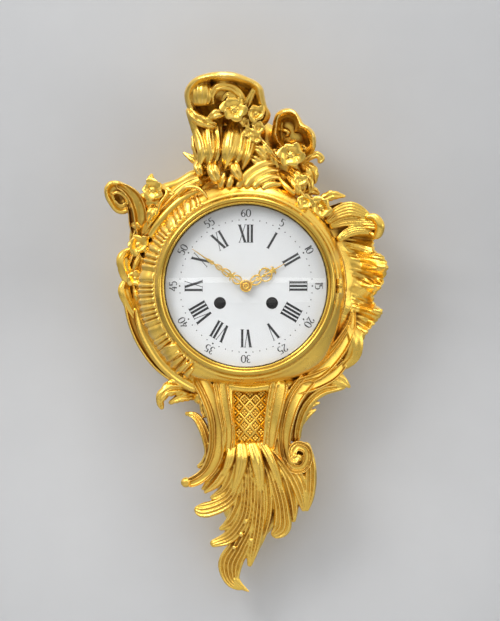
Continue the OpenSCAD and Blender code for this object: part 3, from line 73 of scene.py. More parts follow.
# Everything is drawn in millimetres from the dial centre: x right, y up, z out of the wall
FACE = -DIAL_LOW[1] * 1000
BEZEL_BACK = -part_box("glass_bezel")[1][1] * 1000
# Height and outer radius of the seat round the dial, and radius of the opening in it
SEAT_Z = 93.0
SEAT_R = 93.0
OPEN_R = 86.0


# Sizes and colours that a user would change
class ClockSizes(bpy.types.PropertyGroup):
    voxel: FloatProperty(name="Casting grain", description="Size of the grid that joins a casting",
                         default=0.0007, min=0.0005, max=0.002, subtype="DISTANCE", unit="LENGTH")
    ribs: IntProperty(name="Ribs", description="Ribs on the left of the case", default=33, min=12, max=60)
    rib_height: FloatProperty(name="Rib height", description="How far a rib stands out", default=0.0022,
                              min=0.0005, max=0.003, subtype="DISTANCE", unit="LENGTH")
    numeral_in: FloatProperty(name="Hour foot", description="Inner radius of the hour numerals",
                              default=0.0435, subtype="DISTANCE", unit="LENGTH")
    numeral_out: FloatProperty(name="Hour head", description="Outer radius of the hour numerals",
                               default=0.061, subtype="DISTANCE", unit="LENGTH")
    dot_ring: FloatProperty(name="Minute ring", description="Radius of the ring of minute dots",
                            default=0.0662, subtype="DISTANCE", unit="LENGTH")
    lattice: FloatProperty(name="Lattice", description="Spacing of the trellis bars", default=0.0084,
                           subtype="DISTANCE", unit="LENGTH")


class ClockFinish(bpy.types.PropertyGroup):
    gold: FloatVectorProperty(name="Burnished gold", description="Colour of the worn high places",
                              default=(0.93, 0.61, 0.108), subtype="COLOR", min=0, max=1)
    # Deep colour of the gilt: patina, and the painted shade of its hollows
    patina_and_shade: FloatVectorProperty(name="Patina", description="Colour in the deep places",
                                default=(0.3, 0.128, 0.013), subtype="COLOR", min=0, max=1)
    brass: FloatVectorProperty(name="Brass", description="Colour of the movement plates",
                               default=(0.78, 0.57, 0.26), subtype="COLOR", min=0, max=1)
    enamel: FloatVectorProperty(name="Enamel", description="Colour of the dial",
                                default=(0.7, 0.71, 0.72), subtype="COLOR", min=0, max=1)
    ground: FloatProperty(name="Ground", description="Brightness of the background", default=0.62,
                          min=0, max=1)


def sizes():
    return bpy.context.scene.clock_sizes


def finish():
    return bpy.context.scene.clock_finish


# Mesh helpers
def to_row(points):
    """Drawn millimetres to metres in the shared frame."""
    p = np.asarray(points, float)
    return np.stack([CENTRE_X + p[..., 0] / 1000, -p[..., 2] / 1000, CENTRE_Z + p[..., 1] / 1000], -1)


class Shape:
    """Points and faces gathered in millimetres."""

    def __init__(self):
        self.points, self.faces, self.count = [], [], 0

    def rings(self, rings, loop=False):
        """Skin over rings of equal length; the rings meet in a loop, or are closed at both ends."""
        rings = np.asarray(rings, float)
        n, m = rings.shape[:2]
        i = np.arange(n if loop else n - 1)[:, None] * m
        j = np.arange(m)[None, :]
        k = (j + 1) % m
        far = (i + m) % (n * m)
        faces = np.stack(np.broadcast_arrays(i + j, far + j, far + k, i + k), -1).reshape(-1, 4).tolist()
        points = rings.reshape(-1, 3)
        if not loop:
            points = np.vstack([points, rings[0].mean(0), rings[-1].mean(0)])
            last = (n - 1) * m
            faces += [[n * m, a, (a + 1) % m] for a in range(m)]
            faces += [[n * m + 1, last + (a + 1) % m, last + a] for a in range(m)]
        self.points.append(points)
        self.faces += [[corner + self.count for corner in face] for face in faces]
        self.count += len(points)

    def ball(self, x, y, z, r, squash=1.0, n=14):
        a = np.linspace(0, math.pi, n // 2 + 1)[1:-1]
        t = np.linspace(0, 2 * math.pi, n, endpoint=False)
        rings = [[[x + r * math.sin(u) * c, y + r * math.sin(u) * s, z + r * squash * math.cos(u)]
                  for c, s in zip(np.cos(t), np.sin(t))] for u in a]
        self.rings(rings)

    def mesh(self, name):
        data = bpy.data.meshes.new(name)
        data.from_pydata(to_row(np.vstack(self.points)).tolist(), [], self.faces)
        data.update()
        return data


def spline(stations, step):
    """Distances and points along a smooth curve through the stations."""
    p = np.asarray(stations, float)
    d = np.r_[0, np.cumsum(np.linalg.norm(np.diff(p[:, :3], axis=0), axis=1))]
    s = np.linspace(0, d[-1], max(int(d[-1] / step), 5) + 1)
    slope = np.gradient(p, d, axis=0)
    i = np.clip(np.searchsorted(d, s, side="right") - 1, 0, len(d) - 2)
    h = (d[i + 1] - d[i])[:, None]
    u = (s - d[i])[:, None] / h
    a, b = p[i], p[i + 1]
    ma, mb = slope[i] * h, slope[i + 1] * h
    return s, (a * (2 * u**3 - 3 * u**2 + 1) + ma * (u**3 - 2 * u**2 + u)
               + b * (3 * u**2 - 2 * u**3) + mb * (u**3 - u**2))


def between(a, b, c, d, t):
    """Smooth curve from b to c as t goes from 0 to 1; a and d are the points on either side."""
    return b + 0.5 * t * (c - a + t * (2 * a - 5 * b + 4 * c - d + t * (3 * (b - c) + d - a)))


# Front profiles of a strand: height over u, from -1 to 1 across, and s, from 0 to 1 along
def crowned(u, s):
    """Plain round top."""
    return np.sqrt(np.clip(1 - np.abs(u) ** 2.4, 0, 1)) + 0 * s


def reeded(count, depth=0.28, fall=0.3):
    """Soft parallel reeds; depth is how far the hollows go down, fall how far the sides do."""
    def profile(u, s):
        hollow = 0.5 - 0.5 * np.cos(math.pi * (count * u + (count % 2 == 0)))
        return (1 - depth * hollow * np.clip(8 * s, 0.2, 1)) * (1 - fall * u**2)
    return profile


def channel(u, s):
    """Hollow between two raised rims."""
    rims = np.exp(-(((np.abs(u) - 0.8) / 0.17) ** 2))
    return 0.25 + 0.3 * u**2 + 0.6 * rims + 0 * s


def moulded(u, s):
    """Broad cove between two edge beads, with a fine ridge beside its middle."""
    beads = 0.46 * np.exp(-(((np.abs(u) - 0.84) / 0.11) ** 2))
    return 0.48 + 0.22 * u**2 + beads + 0.4 * np.exp(-(((u - 0.28) / 0.09) ** 2)) + 0 * s


def folded(u, s):
    """Leaf lobe creased along a line that wanders from side to side."""
    crease = 0.4 * np.sin(4.2 * s + 0.6)
    fall = np.abs(u - crease) / (1 + np.sign(u - crease) * -crease)
    return 1 - 0.62 * fall**1.3 + 0.1 * np.cos(3 * math.pi * u) * np.clip(1 - fall, 0, 1)


def petal(u, s):
    """Broad petal, dished between raised edges."""
    turn = 0.82
    dish = 0.62 + 0.5 * np.clip(np.abs(u), 0, turn) ** 2 - 0.9 * np.clip(np.abs(u) - turn, 0, 1)
    return dish - 0.12 * np.exp(-((u / 0.12) ** 2)) + 0 * s


def leafy(u, s):
    """Round leaf with a groove along its middle and faint veins."""
    crown = np.sqrt(np.clip(1 - 0.85 * np.abs(u) ** 2.2, 0, 1))
    groove = 1 - 0.34 * np.exp(-((u / 0.2) ** 2))
    return crown * groove * (1 + 0.05 * np.cos(2 * math.pi * (4 * s - 1.2 * np.abs(u))))


def sweep(shape, stations, profile, step, across=13, lobes=0, cut=0.3):
    """A strand through stations [x, y, z, half width, half thickness], its ends rounded."""
    s, p = spline(stations, step)
    x, w, t = p[:, :3], np.maximum(p[:, 3], 0.35), np.maximum(p[:, 4], 0.5)
    ahead = np.gradient(x, axis=0)
    ahead /= np.linalg.norm(ahead, axis=1)[:, None]
    side = np.cross(ahead, [0, 0, 1.0])
    side /= np.maximum(np.linalg.norm(side, axis=1), 1e-6)[:, None]
    front = np.cross(side, ahead)
    share = s / s[-1]
    end = np.clip(np.minimum(s, s[-1] - s) / np.maximum(0.9 * w, 1.2), 0, 1)
    end = np.maximum(np.sqrt(1 - (1 - end) ** 2), 0.12)
    if lobes:
        w = w * (1 - cut + cut * np.abs(np.sin(math.pi * (lobes * share))) ** 0.7)
    u = np.r_[np.linspace(-1, 1, across), np.linspace(1, -1, across // 2 + 1)[1:-1]]
    h = np.empty((len(s), len(u)))
    h[:, :across] = profile(u[None, :across], share[:, None])
    h[:, across:] = -np.sqrt(np.clip(1 - u[None, across:] ** 2, 0, 1))
    w, t = (w * end)[:, None, None], (t * end)[:, None, None]
    shape.rings(x[:, None] + side[:, None] * w * u[None, :, None] + front[:, None] * t * h[:, :, None])


def sweeps(shape, strands, *settings, **lobed):
    """Several strands with the same settings."""
    for stations in strands:
        sweep(shape, stations, *settings, **lobed)


def flower(shape, x, y, z, r, turn, petals=5, cup=0.35, lean=(0.0, 0.0)):
    """Open flower of grooved petals round a beaded eye; lean tips it sideways and up."""
    def at(d, a, h):
        dx, dy = d * math.cos(a), d * math.sin(a)
        return [x + dx, y + dy, z + h - dx * lean[0] - dy * lean[1]]
    for k in range(petals):
        a = math.radians(turn + 360 * k / petals)
        wide = r * math.sin(math.pi / petals) * 1.02
        size = 1 + 0.1 * math.sin(2.4 * k + turn)
        rise = 0.05 * r * math.cos(math.pi * k)
        sweep(shape, [
            at(0.1 * r, a, rise - 0.25 * r) + [wide * 0.4, 1.5],
            at(0.48 * r * size, a + 0.1, rise + cup * r * 0.6) + [wide * 0.85, 1.6],
            at(0.8 * r * size, a + 0.04, rise + cup * r) + [wide * size, 1.5],
            at(1.06 * r * size, a - 0.04, rise + cup * r * 0.7) + [wide * 0.75, 1.2],
        ], petal, 0.7, 17)
    shape.ball(*at(0, 0, cup * r * 0.35), r * 0.24, 0.9)
    beads = 7
    for k in range(beads):
        a = 2 * math.pi * k / beads
        shape.ball(*at(0.24 * r, a, cup * r * 0.5), max(r * 0.085, 0.7), 1, 8)


def bowl(shape, rim, centre, back, floor, lip, proud):
    """Hollow hood from a rim round a centre: heights of its back and floor, width of its lip and how proud that is."""
    closed = np.vstack([rim, rim[:1]])
    p = spline(closed, 1.6)[1][:-1]
    c = np.array(centre, float)
    out = p[:, :2] - c
    far = np.linalg.norm(out, axis=1)[:, None]
    out = out / far
    z = p[:, 2:3]

    def ring(inset, height):
        return np.hstack([c + out * np.maximum(far - inset, 1.0), height + 0 * z])
    depth = z - floor
    shape.rings([
        ring(far * 0.45, 0 * z + back), ring(far * 0.2, back * 0.6 + z * 0.4), ring(lip * 0.35, z - lip),
        ring(0, z), ring(lip * 0.2, z + lip * proud * 0.7), ring(lip * 0.55, z + lip * proud),
        ring(lip * 0.9, z + lip * proud * 0.5), ring(lip * 1.15, z - depth * 0.15),
        ring(lip * 1.3, z - depth * 0.5), ring(lip * 1.6 + far * 0.08, z - depth * 0.85),
        ring(far * 0.5, 0 * z + floor), ring(far * 0.7, 0 * z + floor - 3), ring(far * 0.9, 0 * z + floor - 5),
    ])


def block(shape, rows):
    """Core of a casting from rows [y, middle, half width, back, front]."""
    table = np.insert(np.asarray(rows, float), 2, 0, axis=1)
    y, mid, _, half, back, front = spline(table, 2.0)[1].T
    a = np.linspace(0, 2 * math.pi, 24, endpoint=False)
    cx, cz = np.sign(np.cos(a)) * np.abs(np.cos(a)) ** 0.7, np.sign(np.sin(a)) * np.abs(np.sin(a)) ** 0.7
    shape.rings(np.stack([
        mid[:, None] + half[:, None] * cx, y[:, None] + 0 * cx,
        ((back + front) / 2)[:, None] + ((front - back) / 2)[:, None] * cz], -1))


def lathe(shape, profile, around):
    """Ring from a closed profile of [radius, height]."""
    a = np.linspace(0, 2 * math.pi, around, endpoint=False)
    p = np.asarray(profile, float)
    shape.rings(np.stack([
        np.cos(a)[:, None] * p[:, 0], np.sin(a)[:, None] * p[:, 0], 0 * a[:, None] + p[:, 1]], -1), loop=True)


def plain_mesh(obj):
    """The evaluated object as a plain mesh, its modifiers removed."""
    graph = bpy.context.evaluated_depsgraph_get()
    graph.update()
    data = bpy.data.meshes.new_from_object(obj.evaluated_get(graph))
    obj.modifiers.clear()
    old = obj.data
    obj.data = data
    if old.users == 0:
        bpy.data.meshes.remove(old)
    data.name = obj.name
    return data


def add_relief(data, rounds=8):
    """Point attribute in mm: positive in grooves, negative on crests."""
    n = len(data.vertices)
    place, normal, edge = np.empty(n * 3), np.empty(n * 3), np.empty(len(data.edges) * 2, int)
    data.vertices.foreach_get("co", place)
    data.vertices.foreach_get("normal", normal)
    data.edges.foreach_get("vertices", edge)
    place, normal = place.reshape(-1, 3), normal.reshape(-1, 3)
    a, b = edge[::2], edge[1::2]
    near = np.maximum(np.bincount(a, minlength=n) + np.bincount(b, minlength=n), 1)[:, None]
    soft = place.copy()
    for _ in range(rounds):
        total = np.stack([
            np.bincount(a, soft[b, k], n) + np.bincount(b, soft[a, k], n) for k in range(3)], -1)
        soft = 0.35 * soft + 0.65 * total / near
    value = ((soft - place) * normal).sum(1) * 1000
    data.attributes.new("relief", "FLOAT", "POINT").data.foreach_set("value", value.astype(np.float32))


def placed(name, data):
    """Puts data in the scene as an object."""
    obj = bpy.data.objects.new(name, data)
    bpy.context.scene.collection.objects.link(obj)
    return obj


def new_piece(name, data, material, body, slot, *replaced):
    """Puts a mesh in the scene as a piece of the clock."""
    obj = placed(name, data)
    data.materials.clear()
    data.materials.append(material)
    data.polygons.foreach_set("use_smooth", np.ones(len(data.polygons), bool))
    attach(obj, body)
    if replaced:
        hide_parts(*replaced)
    return obj


def face_out(data):
    """Turns every closed skin's faces outwards."""
    mesh = bmesh.new()
    mesh.from_mesh(data)
    bmesh.ops.recalc_face_normals(mesh, faces=mesh.faces)
    mesh.to_mesh(data)
    mesh.free()


def solid(name, shape, material, body, slot, *replaced):
    """One piece straight from a shape."""
    data = shape.mesh(name)
    face_out(data)
    return new_piece(name, data, material, body, slot, *replaced)


# A casting has at most this many triangles
MOST_TRIANGLES = 185000


def cast(name, shape, *replaced, grain=1.0, joined=True):
    """One casting: its strands are joined on a fine grid, eased and thinned, then gilt."""
    data = shape.mesh(name)
    if joined:
        obj = placed(name, data)
        grid = obj.modifiers.new("join", "REMESH")
        grid.mode = "VOXEL"
        grid.voxel_size = sizes().voxel * grain * 1
        grid.use_smooth_shade = True
        ease = obj.modifiers.new("ease", "SMOOTH")
        ease.factor, ease.iterations = 0.5, 1
        data = plain_mesh(obj)
        triangles = 2 * len(data.polygons)
        if triangles > MOST_TRIANGLES:
            thin = obj.modifiers.new("thin", "DECIMATE")
            thin.ratio = MOST_TRIANGLES / triangles
            data = plain_mesh(obj)
        bpy.data.objects.remove(obj)
    else:
        face_out(data)
    add_relief(data)
    return new_piece(name, data, gilt_metal(), "case", "gilt", *replaced)


# Shader groups and materials
def group(name, inputs, outputs):
    """A shader node group with its sockets; inputs are (name, kind, default)."""
    tree = bpy.data.node_groups.new(name, "ShaderNodeTree")
    for label, kind, value in inputs:
        socket = tree.interface.new_socket(label, in_out="INPUT", socket_type=kind)
        socket.default_value = value
    for label, kind in outputs:
        tree.interface.new_socket(label, in_out="OUTPUT", socket_type=kind)
    return tree, tree.nodes.new("NodeGroupInput"), tree.nodes.new("NodeGroupOutput")


def feed(tree, made, inputs):
    """Sets inputs of a node to values, or links them from other nodes' sockets."""
    for key, value in inputs.items():
        if isinstance(value, bpy.types.NodeSocket):
            tree.links.new(value, made.inputs[key])
        else:
            made.inputs[key].default_value = value


def node(tree, kind, inputs=None, **settings):
    """A node with its settings and inputs."""
    made = tree.nodes.new(kind)
    for key, value in settings.items():
        setattr(made, key, value)
    feed(tree, made, inputs or {})
    return made


def object_place(tree):
    """Place in the frame of the clock, for textures."""
    return node(tree, "ShaderNodeTexCoord").outputs["Object"]


def from_centre(tree, **settings):
    """Place counted from the dial centre."""
    inputs = {"Vector": object_place(tree), "Location": (-CENTRE_X, 0, -CENTRE_Z), **settings}
    return node(tree, "ShaderNodeMapping", inputs).outputs[0]


def dial_radius(tree):
    """Distance from the axis of the dial."""
    flat = from_centre(tree, Scale=(1, 0, 1))
    return node(tree, "ShaderNodeVectorMath", {0: flat}, operation="LENGTH").outputs["Value"]


def noise(tree, place, scale, detail=3.0, rough=0.55):
    return node(tree, "ShaderNodeTexNoise", {
        "Vector": place, "Scale": scale, "Detail": detail, "Roughness": rough}).outputs["Fac"]


def spread(tree, value, low, high, to_low=0.0, to_high=1.0):
    """A value mapped from one range to another and kept inside it."""
    return node(tree, "ShaderNodeMapRange", {
        "Value": value, "From Min": low, "From Max": high, "To Min": to_low, "To Max": to_high}).outputs["Result"]


def mixed(tree, share, first, second):
    return node(tree, "ShaderNodeMix", {0: share, 6: first, 7: second}, data_type="RGBA").outputs[2]


def see_through(tree, bsdf, share):
    """Lets a share of the rays pass straight through a material."""
    clear = node(tree, "ShaderNodeBsdfTransparent").outputs[0]
    blend = node(tree, "ShaderNodeMixShader", {0: share, 1: bsdf.outputs[0], 2: clear})
    feed(tree, tree.nodes["Material Output"], {"Surface": blend.outputs[0]})


def maths(tree, operation, first, second):
    return node(tree, "ShaderNodeMath", {0: first, 1: second}, operation=operation).outputs[0]


FOUND = {}


def once(make):
    """Makes a material or group only the first time it is asked for."""
    def ask():
        if make.__name__ not in FOUND:
            FOUND[make.__name__] = make()
        return FOUND[make.__name__]
    return ask


@once
def wear_shade_group():
    """Patina and painted shade in the hollows, burnish and painted highlight on the crests, and cloudy wear of old
    metal.
    """
    tree, inside, out = group(
        "Metal Wear And Painted Shade",
        [("Hollow", "NodeSocketFloat", 0.0), ("Crest", "NodeSocketFloat", 0.0),
         ("High", "NodeSocketColor", (1, 1, 1, 1)), ("Deep", "NodeSocketColor", (0, 0, 0, 1)),
         ("Gloss", "NodeSocketFloat", 0.22), ("Matt", "NodeSocketFloat", 0.5), ("Grain", "NodeSocketFloat", 900.0)],
        [("Color", "NodeSocketColor"), ("Roughness", "NodeSocketFloat"), ("Height", "NodeSocketFloat")])
    place, given = object_place(tree), inside.outputs
    cloud = noise(tree, place, 38.0, 4.0, 0.6)
    fine = noise(tree, place, given["Grain"], 2.0, 0.5)
    # Painted shade and patina: the hollows go towards the deep colour
    depth = spread(tree, given["Hollow"], 0.22, 0.78)
    stain = spread(tree, cloud, 0.35, 0.75, 0.0, 0.3)
    # Share of the deep colour: painted shade in the hollows, or cloudy stain
    share = maths(tree, "MAXIMUM", depth, maths(tree, "MULTIPLY", stain, 0.7))
    # Burnish and painted highlight: the crests go towards a pale gold
    burnish_and_highlight = mixed(tree, given["Crest"], given["High"], (1.0, 0.76, 0.36, 1))
    colour = mixed(tree, share, burnish_and_highlight, given["Deep"])
    speck = spread(tree, noise(tree, place, 260.0, 2.0), 0.6, 0.8, 0.0, 0.16)
    colour = mixed(tree, speck, colour, given["Deep"])
    rough = node(tree, "ShaderNodeMix", {0: share, 2: given["Gloss"], 3: given["Matt"]}).outputs[0]
    rough = maths(tree, "ADD", rough, spread(tree, cloud, 0.3, 0.7, -0.04, 0.06))
    feed(tree, out, {"Color": colour, "Roughness": rough, "Height": fine})
    return tree


def new_material(name):
    made = bpy.data.materials.new(name)
    made.use_nodes = True
    tree = made.node_tree
    return made, tree, tree.nodes["Principled BSDF"]


def metal(name, high, deep, gloss, matt, grain, bump, ringed=0.0, reach=0.008):
    """Worn metal with its own colours, its hollows darkened as patina and painted shade and its crests lightened as
    burnish and painted highlight; ringed turns fine lathe lines on it, reach is a hollow's depth.
    """
    made, tree, bsdf = new_material(name)
    # Painted shade: ambient occlusion within reach and the relief attribute darken the hollows; relief also gives the
    # crests a painted highlight
    open_share = node(tree, "ShaderNodeAmbientOcclusion", {"Distance": reach}, samples=8, only_local=True)
    closed = maths(tree, "SUBTRACT", 1.0, open_share.outputs["AO"])
    relief = node(tree, "ShaderNodeAttribute", attribute_name="relief").outputs["Fac"]
    # The group's outputs carry wear, patina, painted shade and painted highlight
    worn = node(tree, "ShaderNodeGroup", {
        "Hollow": maths(tree, "ADD", closed, maths(tree, "MULTIPLY", relief, 0.9)),
        "Crest": spread(tree, relief, -0.12, -0.7, 0.0, 0.5), "High": (*high, 1), "Deep": (*deep, 1),
        "Gloss": gloss, "Matt": matt, "Grain": grain}, node_tree=wear_shade_group()).outputs
    height = worn["Height"]
    if ringed:
        rings = node(tree, "ShaderNodeTexWave", {
            "Vector": from_centre(tree), "Scale": ringed, "Distortion": 0.6, "Detail": 2.0},
            wave_type="RINGS", rings_direction="Y")
        height = maths(tree, "ADD", height, rings.outputs["Fac"])
    lift = node(tree, "ShaderNodeBump", {"Height": height, "Strength": bump, "Distance": 0.0003})
    feed(tree, bsdf, {"Metallic": 1.0, "Base Color": worn["Color"], "Roughness": worn["Roughness"],
                      "Normal": lift.outputs["Normal"]})
    return made


@once
def gilt_metal():
    made = metal("gilt casting", finish().gold, finish().patina_and_shade, gloss=0.24, matt=0.5, grain=700.0, bump=0.2,
                 reach=0.011)
    tree = made.node_tree
    feed(tree, tree.nodes["Principled BSDF"], {"Coat Weight": 0.2, "Coat Roughness": 0.22})
    return made


# Each metal's deep colour is its patina and the painted shade of its hollows
# Lathe-turned gilt of the bezel, the ring and the hands
POLISHED = {"gloss": 0.17, "matt": 0.3, "grain": 900.0, "bump": 0.06, "ringed": 160.0}


@once
def bright_gilt():
    return metal("polished gilt", finish().gold, (0.6, 0.3, 0.06), **POLISHED)


@once
def bezel_gilt():
    """Polished gilt darkened as painted shade, with a painted shadow line where the bezel meets its glass."""
    # Painted shade: the whole bezel is a darker copy of the gold
    made = metal("bezel gilt", [0.74 * c for c in finish().gold], (0.5, 0.25, 0.04), **POLISHED)
    tree = made.node_tree
    bsdf = tree.nodes["Principled BSDF"]
    # Painted shadow: a near-black line at the inner edge, where the bezel meets the glass
    lip = spread(tree, dial_radius(tree), DIAL_R / 1000 + 0.0009, DIAL_R / 1000 + 0.0014, 1.0, 0.0)
    gold = bsdf.inputs["Base Color"].links[0].from_socket
    feed(tree, bsdf, {"Base Color": mixed(tree, lip, gold, (0.035, 0.02, 0.008, 1))})
    return made


@once
def brass_metal():
    return metal("old brass", finish().brass, (0.34, 0.2, 0.07), gloss=0.3, matt=0.5, grain=1200.0, bump=0.1)


@once
def steel_metal():
    return metal("polished steel", (0.52, 0.53, 0.55), (0.2, 0.19, 0.18), gloss=0.24, matt=0.45, grain=1200.0,
                 bump=0.08)


# Painted shade: the winding squares are near-black so the winding holes read dark
@once
def shade_black_steel():
    return metal("near-black steel as painted shade", (0.022, 0.02, 0.02), (0.006, 0.005, 0.005), gloss=0.4, matt=0.6, grain=1200.0,
                 bump=0.08)


@once
def bell_metal():
    return metal("bell metal", (0.72, 0.55, 0.3), (0.3, 0.17, 0.06), gloss=0.24, matt=0.45, grain=800.0, bump=0.1,
                 ringed=120.0)


@once
def enamel_glaze():
    """White glaze with painted shade, grey-blue, towards the rim, with specks and a faint ripple."""
    made, tree, bsdf = new_material("white enamel")
    place = object_place(tree)
    # Painted shade: the glaze turns grey-blue towards the rim, where the bezel shades the dial
    edge = spread(tree, dial_radius(tree), 0.070, 0.0805)
    shade = mixed(tree, maths(tree, "MULTIPLY", edge, 0.55), (*finish().enamel, 1), (0.52, 0.56, 0.62, 1))
    speck = spread(tree, noise(tree, place, 900.0, 1.0), 0.72, 0.8, 0.0, 0.35)
    cloud = spread(tree, noise(tree, place, 45.0, 2.0), 0.4, 0.8, 0.0, 0.08)
    colour = mixed(tree, maths(tree, "ADD", speck, cloud), shade, (0.55, 0.53, 0.5, 1))
    ripple = node(tree, "ShaderNodeBump", {
        "Height": noise(tree, place, 70.0, 1.0), "Strength": 0.08, "Distance": 0.0004})
    feed(tree, bsdf, {
        "Base Color": colour, "Roughness": spread(tree, noise(tree, place, 120.0), 0.3, 0.7, 0.1, 0.2),
        "Normal": ripple.outputs[0], "Coat Weight": 0.3})
    return made


@once
def black_ink():
    made, tree, bsdf = new_material("fired black")
    place = object_place(tree)
    thin = spread(tree, noise(tree, place, 700.0), 0.35, 0.8)
    feed(tree, bsdf, {
        "Base Color": mixed(tree, thin, (0.006, 0.006, 0.008, 1), (0.035, 0.034, 0.035, 1)),
        "Roughness": spread(tree, noise(tree, place, 300.0), 0.3, 0.7, 0.22, 0.36),
        "Specular IOR Level": 0.2})
    return made


@once
def clear_glass():
    """Clear glass that casts no shadow on the dial."""
    made, tree, bsdf = new_material("clear glass")
    feed(tree, bsdf, {
        "Base Color": (0.985, 0.99, 0.985, 1), "Transmission Weight": 1.0, "IOR": 1.5,
        "Roughness": spread(tree, noise(tree, object_place(tree), 60.0), 0.4, 0.8, 0.0, 0.015)})
    see_through(tree, bsdf, node(tree, "ShaderNodeLightPath").outputs["Is Shadow Ray"])
    return made


# Case: radius of its outline every 15 degrees, counted from the viewer's right
OUTLINE = [108, 108, 110, 112, 116, 120, 122, 122, 120, 118, 118, 121,
           125, 126, 126, 125, 120, 110, 107, 109, 117, 125, 114, 108]
# Height of its foot over the angle; it is cut away for the neck
FOOT = ([0, 238, 250, 290, 302, 360], [0, 0, 46, 46, 0, 0])
# Height of the case front between its seat (0) and its rim (1)
COVE = ([-1, 0, 0.1, 0.42, 0.52, 0.8, 1, 2], [0, 0, -3, -11, -25, -42, -40, -48])


def rim_radius(degrees):
    """Radius of the case outline."""
    count = len(OUTLINE)
    u = (np.asarray(degrees, float) % 360) / (360 / count)
    i = np.floor(u).astype(int)
    return between(*(np.take(OUTLINE, (i + k) % count) for k in (-1, 0, 1, 2)), u - i)


def case_front(x, y):
    """Height of the case front at a place."""
    r, a = math.hypot(x, y), math.degrees(math.atan2(y, x))
    share = (r - SEAT_R) / (rim_radius(a) - SEAT_R)
    return SEAT_Z + float(np.interp(share, *COVE))


def laid(stations):
    """Stations whose z is counted from the case front."""
    return [[x, y, case_front(x, y) + z, w, t] for x, y, z, w, t in stations]


# Section of the case from its opening to its inside: [share of the way from seat to rim, mm beyond that, height
# from the seat]; the two rows without a height are the foot
SECTION = [
    [0, OPEN_R - SEAT_R, -8], [0, OPEN_R - SEAT_R, -1], [0, OPEN_R - SEAT_R + 0.6, 0], [0, -1, 0], [0, 0, -0.4],
    [0.1, 0, -3], [0.26, 0, -6], [0.42, 0, -11], [0.48, 0, -18], [0.53, 0, -26], [0.63, 0, -36], [0.78, 0, -41.5],
    [0.9, 0, -41], [1, -2.6, -38], [1, -1, -37.8], [1, 0, -40], [1, 0, -44], [1, -1.5, -46], [0.8, 0, None],
    [0.8, -3, None], [0.72, -2, -46], [0.42, -3, -30]]
# Its rows up to the seat and from the rim on are joined by straight lines
SEAT_ROW, RIM_ROW = 4, 16
# Points round the case, and steps from row to row
AROUND, STEPS = 1150, 4
# Ribs fill the left side between these angles
RIB_FROM, RIB_TO = 117.0, 238.0


def case_shell():
    """Hollow ring of the case with its ribs."""
    angle = np.linspace(0, 360, AROUND, endpoint=False)
    d = rim_radius(angle) - SEAT_R
    foot = np.minimum(np.interp(angle, *FOOT), SEAT_Z - 47)
    table = np.stack([
        np.stack([SEAT_R + d * share + more, foot if height is None else SEAT_Z + height + 0 * d], -1)
        for share, more, height in SECTION], 1)
    last = len(SECTION) - 1
    t = np.linspace(0, last, last * STEPS + 1)
    i = np.minimum(t.astype(int), last - 1)
    u = (t - i)[None, :, None]
    a, b, c, e = (table[:, np.clip(i + k, 0, last)] for k in (-1, 0, 1, 2))
    p = between(a, b, c, e, u)
    straight = (t < SEAT_ROW) | (t > RIM_ROW)
    p[:, straight] = (b + (c - b) * u)[:, straight]
    # Each rib is a rounded lobe that ends in the cove
    share = (angle - RIB_FROM) / (RIB_TO - RIB_FROM)
    phase = sizes().ribs * (share + 0.012 * np.sin(21 * share) + 0.008 * np.sin(47 * share))
    # The upper ribs lean as they run out
    lean = np.interp(angle, [RIB_FROM, 150, 165], [1.3, 0.9, 0])[:, None] * np.interp(t, [SEAT_ROW, 9], [0, 1])
    lobe = np.abs(np.sin(math.pi * (phase[:, None] + lean))) ** 0.8 - 0.4
    window = np.clip((angle - RIB_FROM) / 2, 0, 1) * np.clip((RIB_TO - angle) / 2, 0, 1)
    along = np.interp(t, [3.2, 4.2, 6.5, 8.4, 9.6], [0, 1, 1, 0.8, 0])
    slope = np.gradient(p, axis=1)
    normal = np.stack([-slope[..., 1], slope[..., 0]], -1)
    normal /= np.maximum(np.linalg.norm(normal, axis=2), 1e-6)[..., None]
    outward = np.where(normal[..., 1:] + normal[..., :1] < 0, -1, 1)
    p = p + normal * outward * (lobe * window[:, None] * along)[..., None] * sizes().rib_height * 1000
    turn = np.radians(angle)[:, None]
    shape = Shape()
    shape.rings(np.stack([p[..., 0] * np.cos(turn), p[..., 0] * np.sin(turn), p[..., 1]], -1), loop=True)
    return shape


# Leaf wing at the right: [angle of the inner edge, x, y and z of the outer edge]
WING = [
    [-47, 88, -88, 54], [-43, 98, -84, 60], [-38, 108, -77, 58], [-33, 113, -66, 64], [-28, 118, -56, 57],
    [-22, 125, -44, 66], [-17, 132, -36, 61], [-12, 138, -25, 73], [-8, 131, -18, 61], [-4, 130, -10, 58],
    [1, 137, -1, 69], [7, 140, 8, 64], [12, 143, 20, 75], [17, 138, 31, 72], [22, 131, 36, 64],
    [27, 130, 47, 59], [33, 136, 61, 73], [37, 124, 72, 68], [42, 110, 79, 60], [47, 96, 85, 66],
    [50, 84, 79, 62]]
# Radius of its inner edge, and its points along and across
WING_IN = 101.5
WING_ALONG, WING_ACROSS = 760, 44


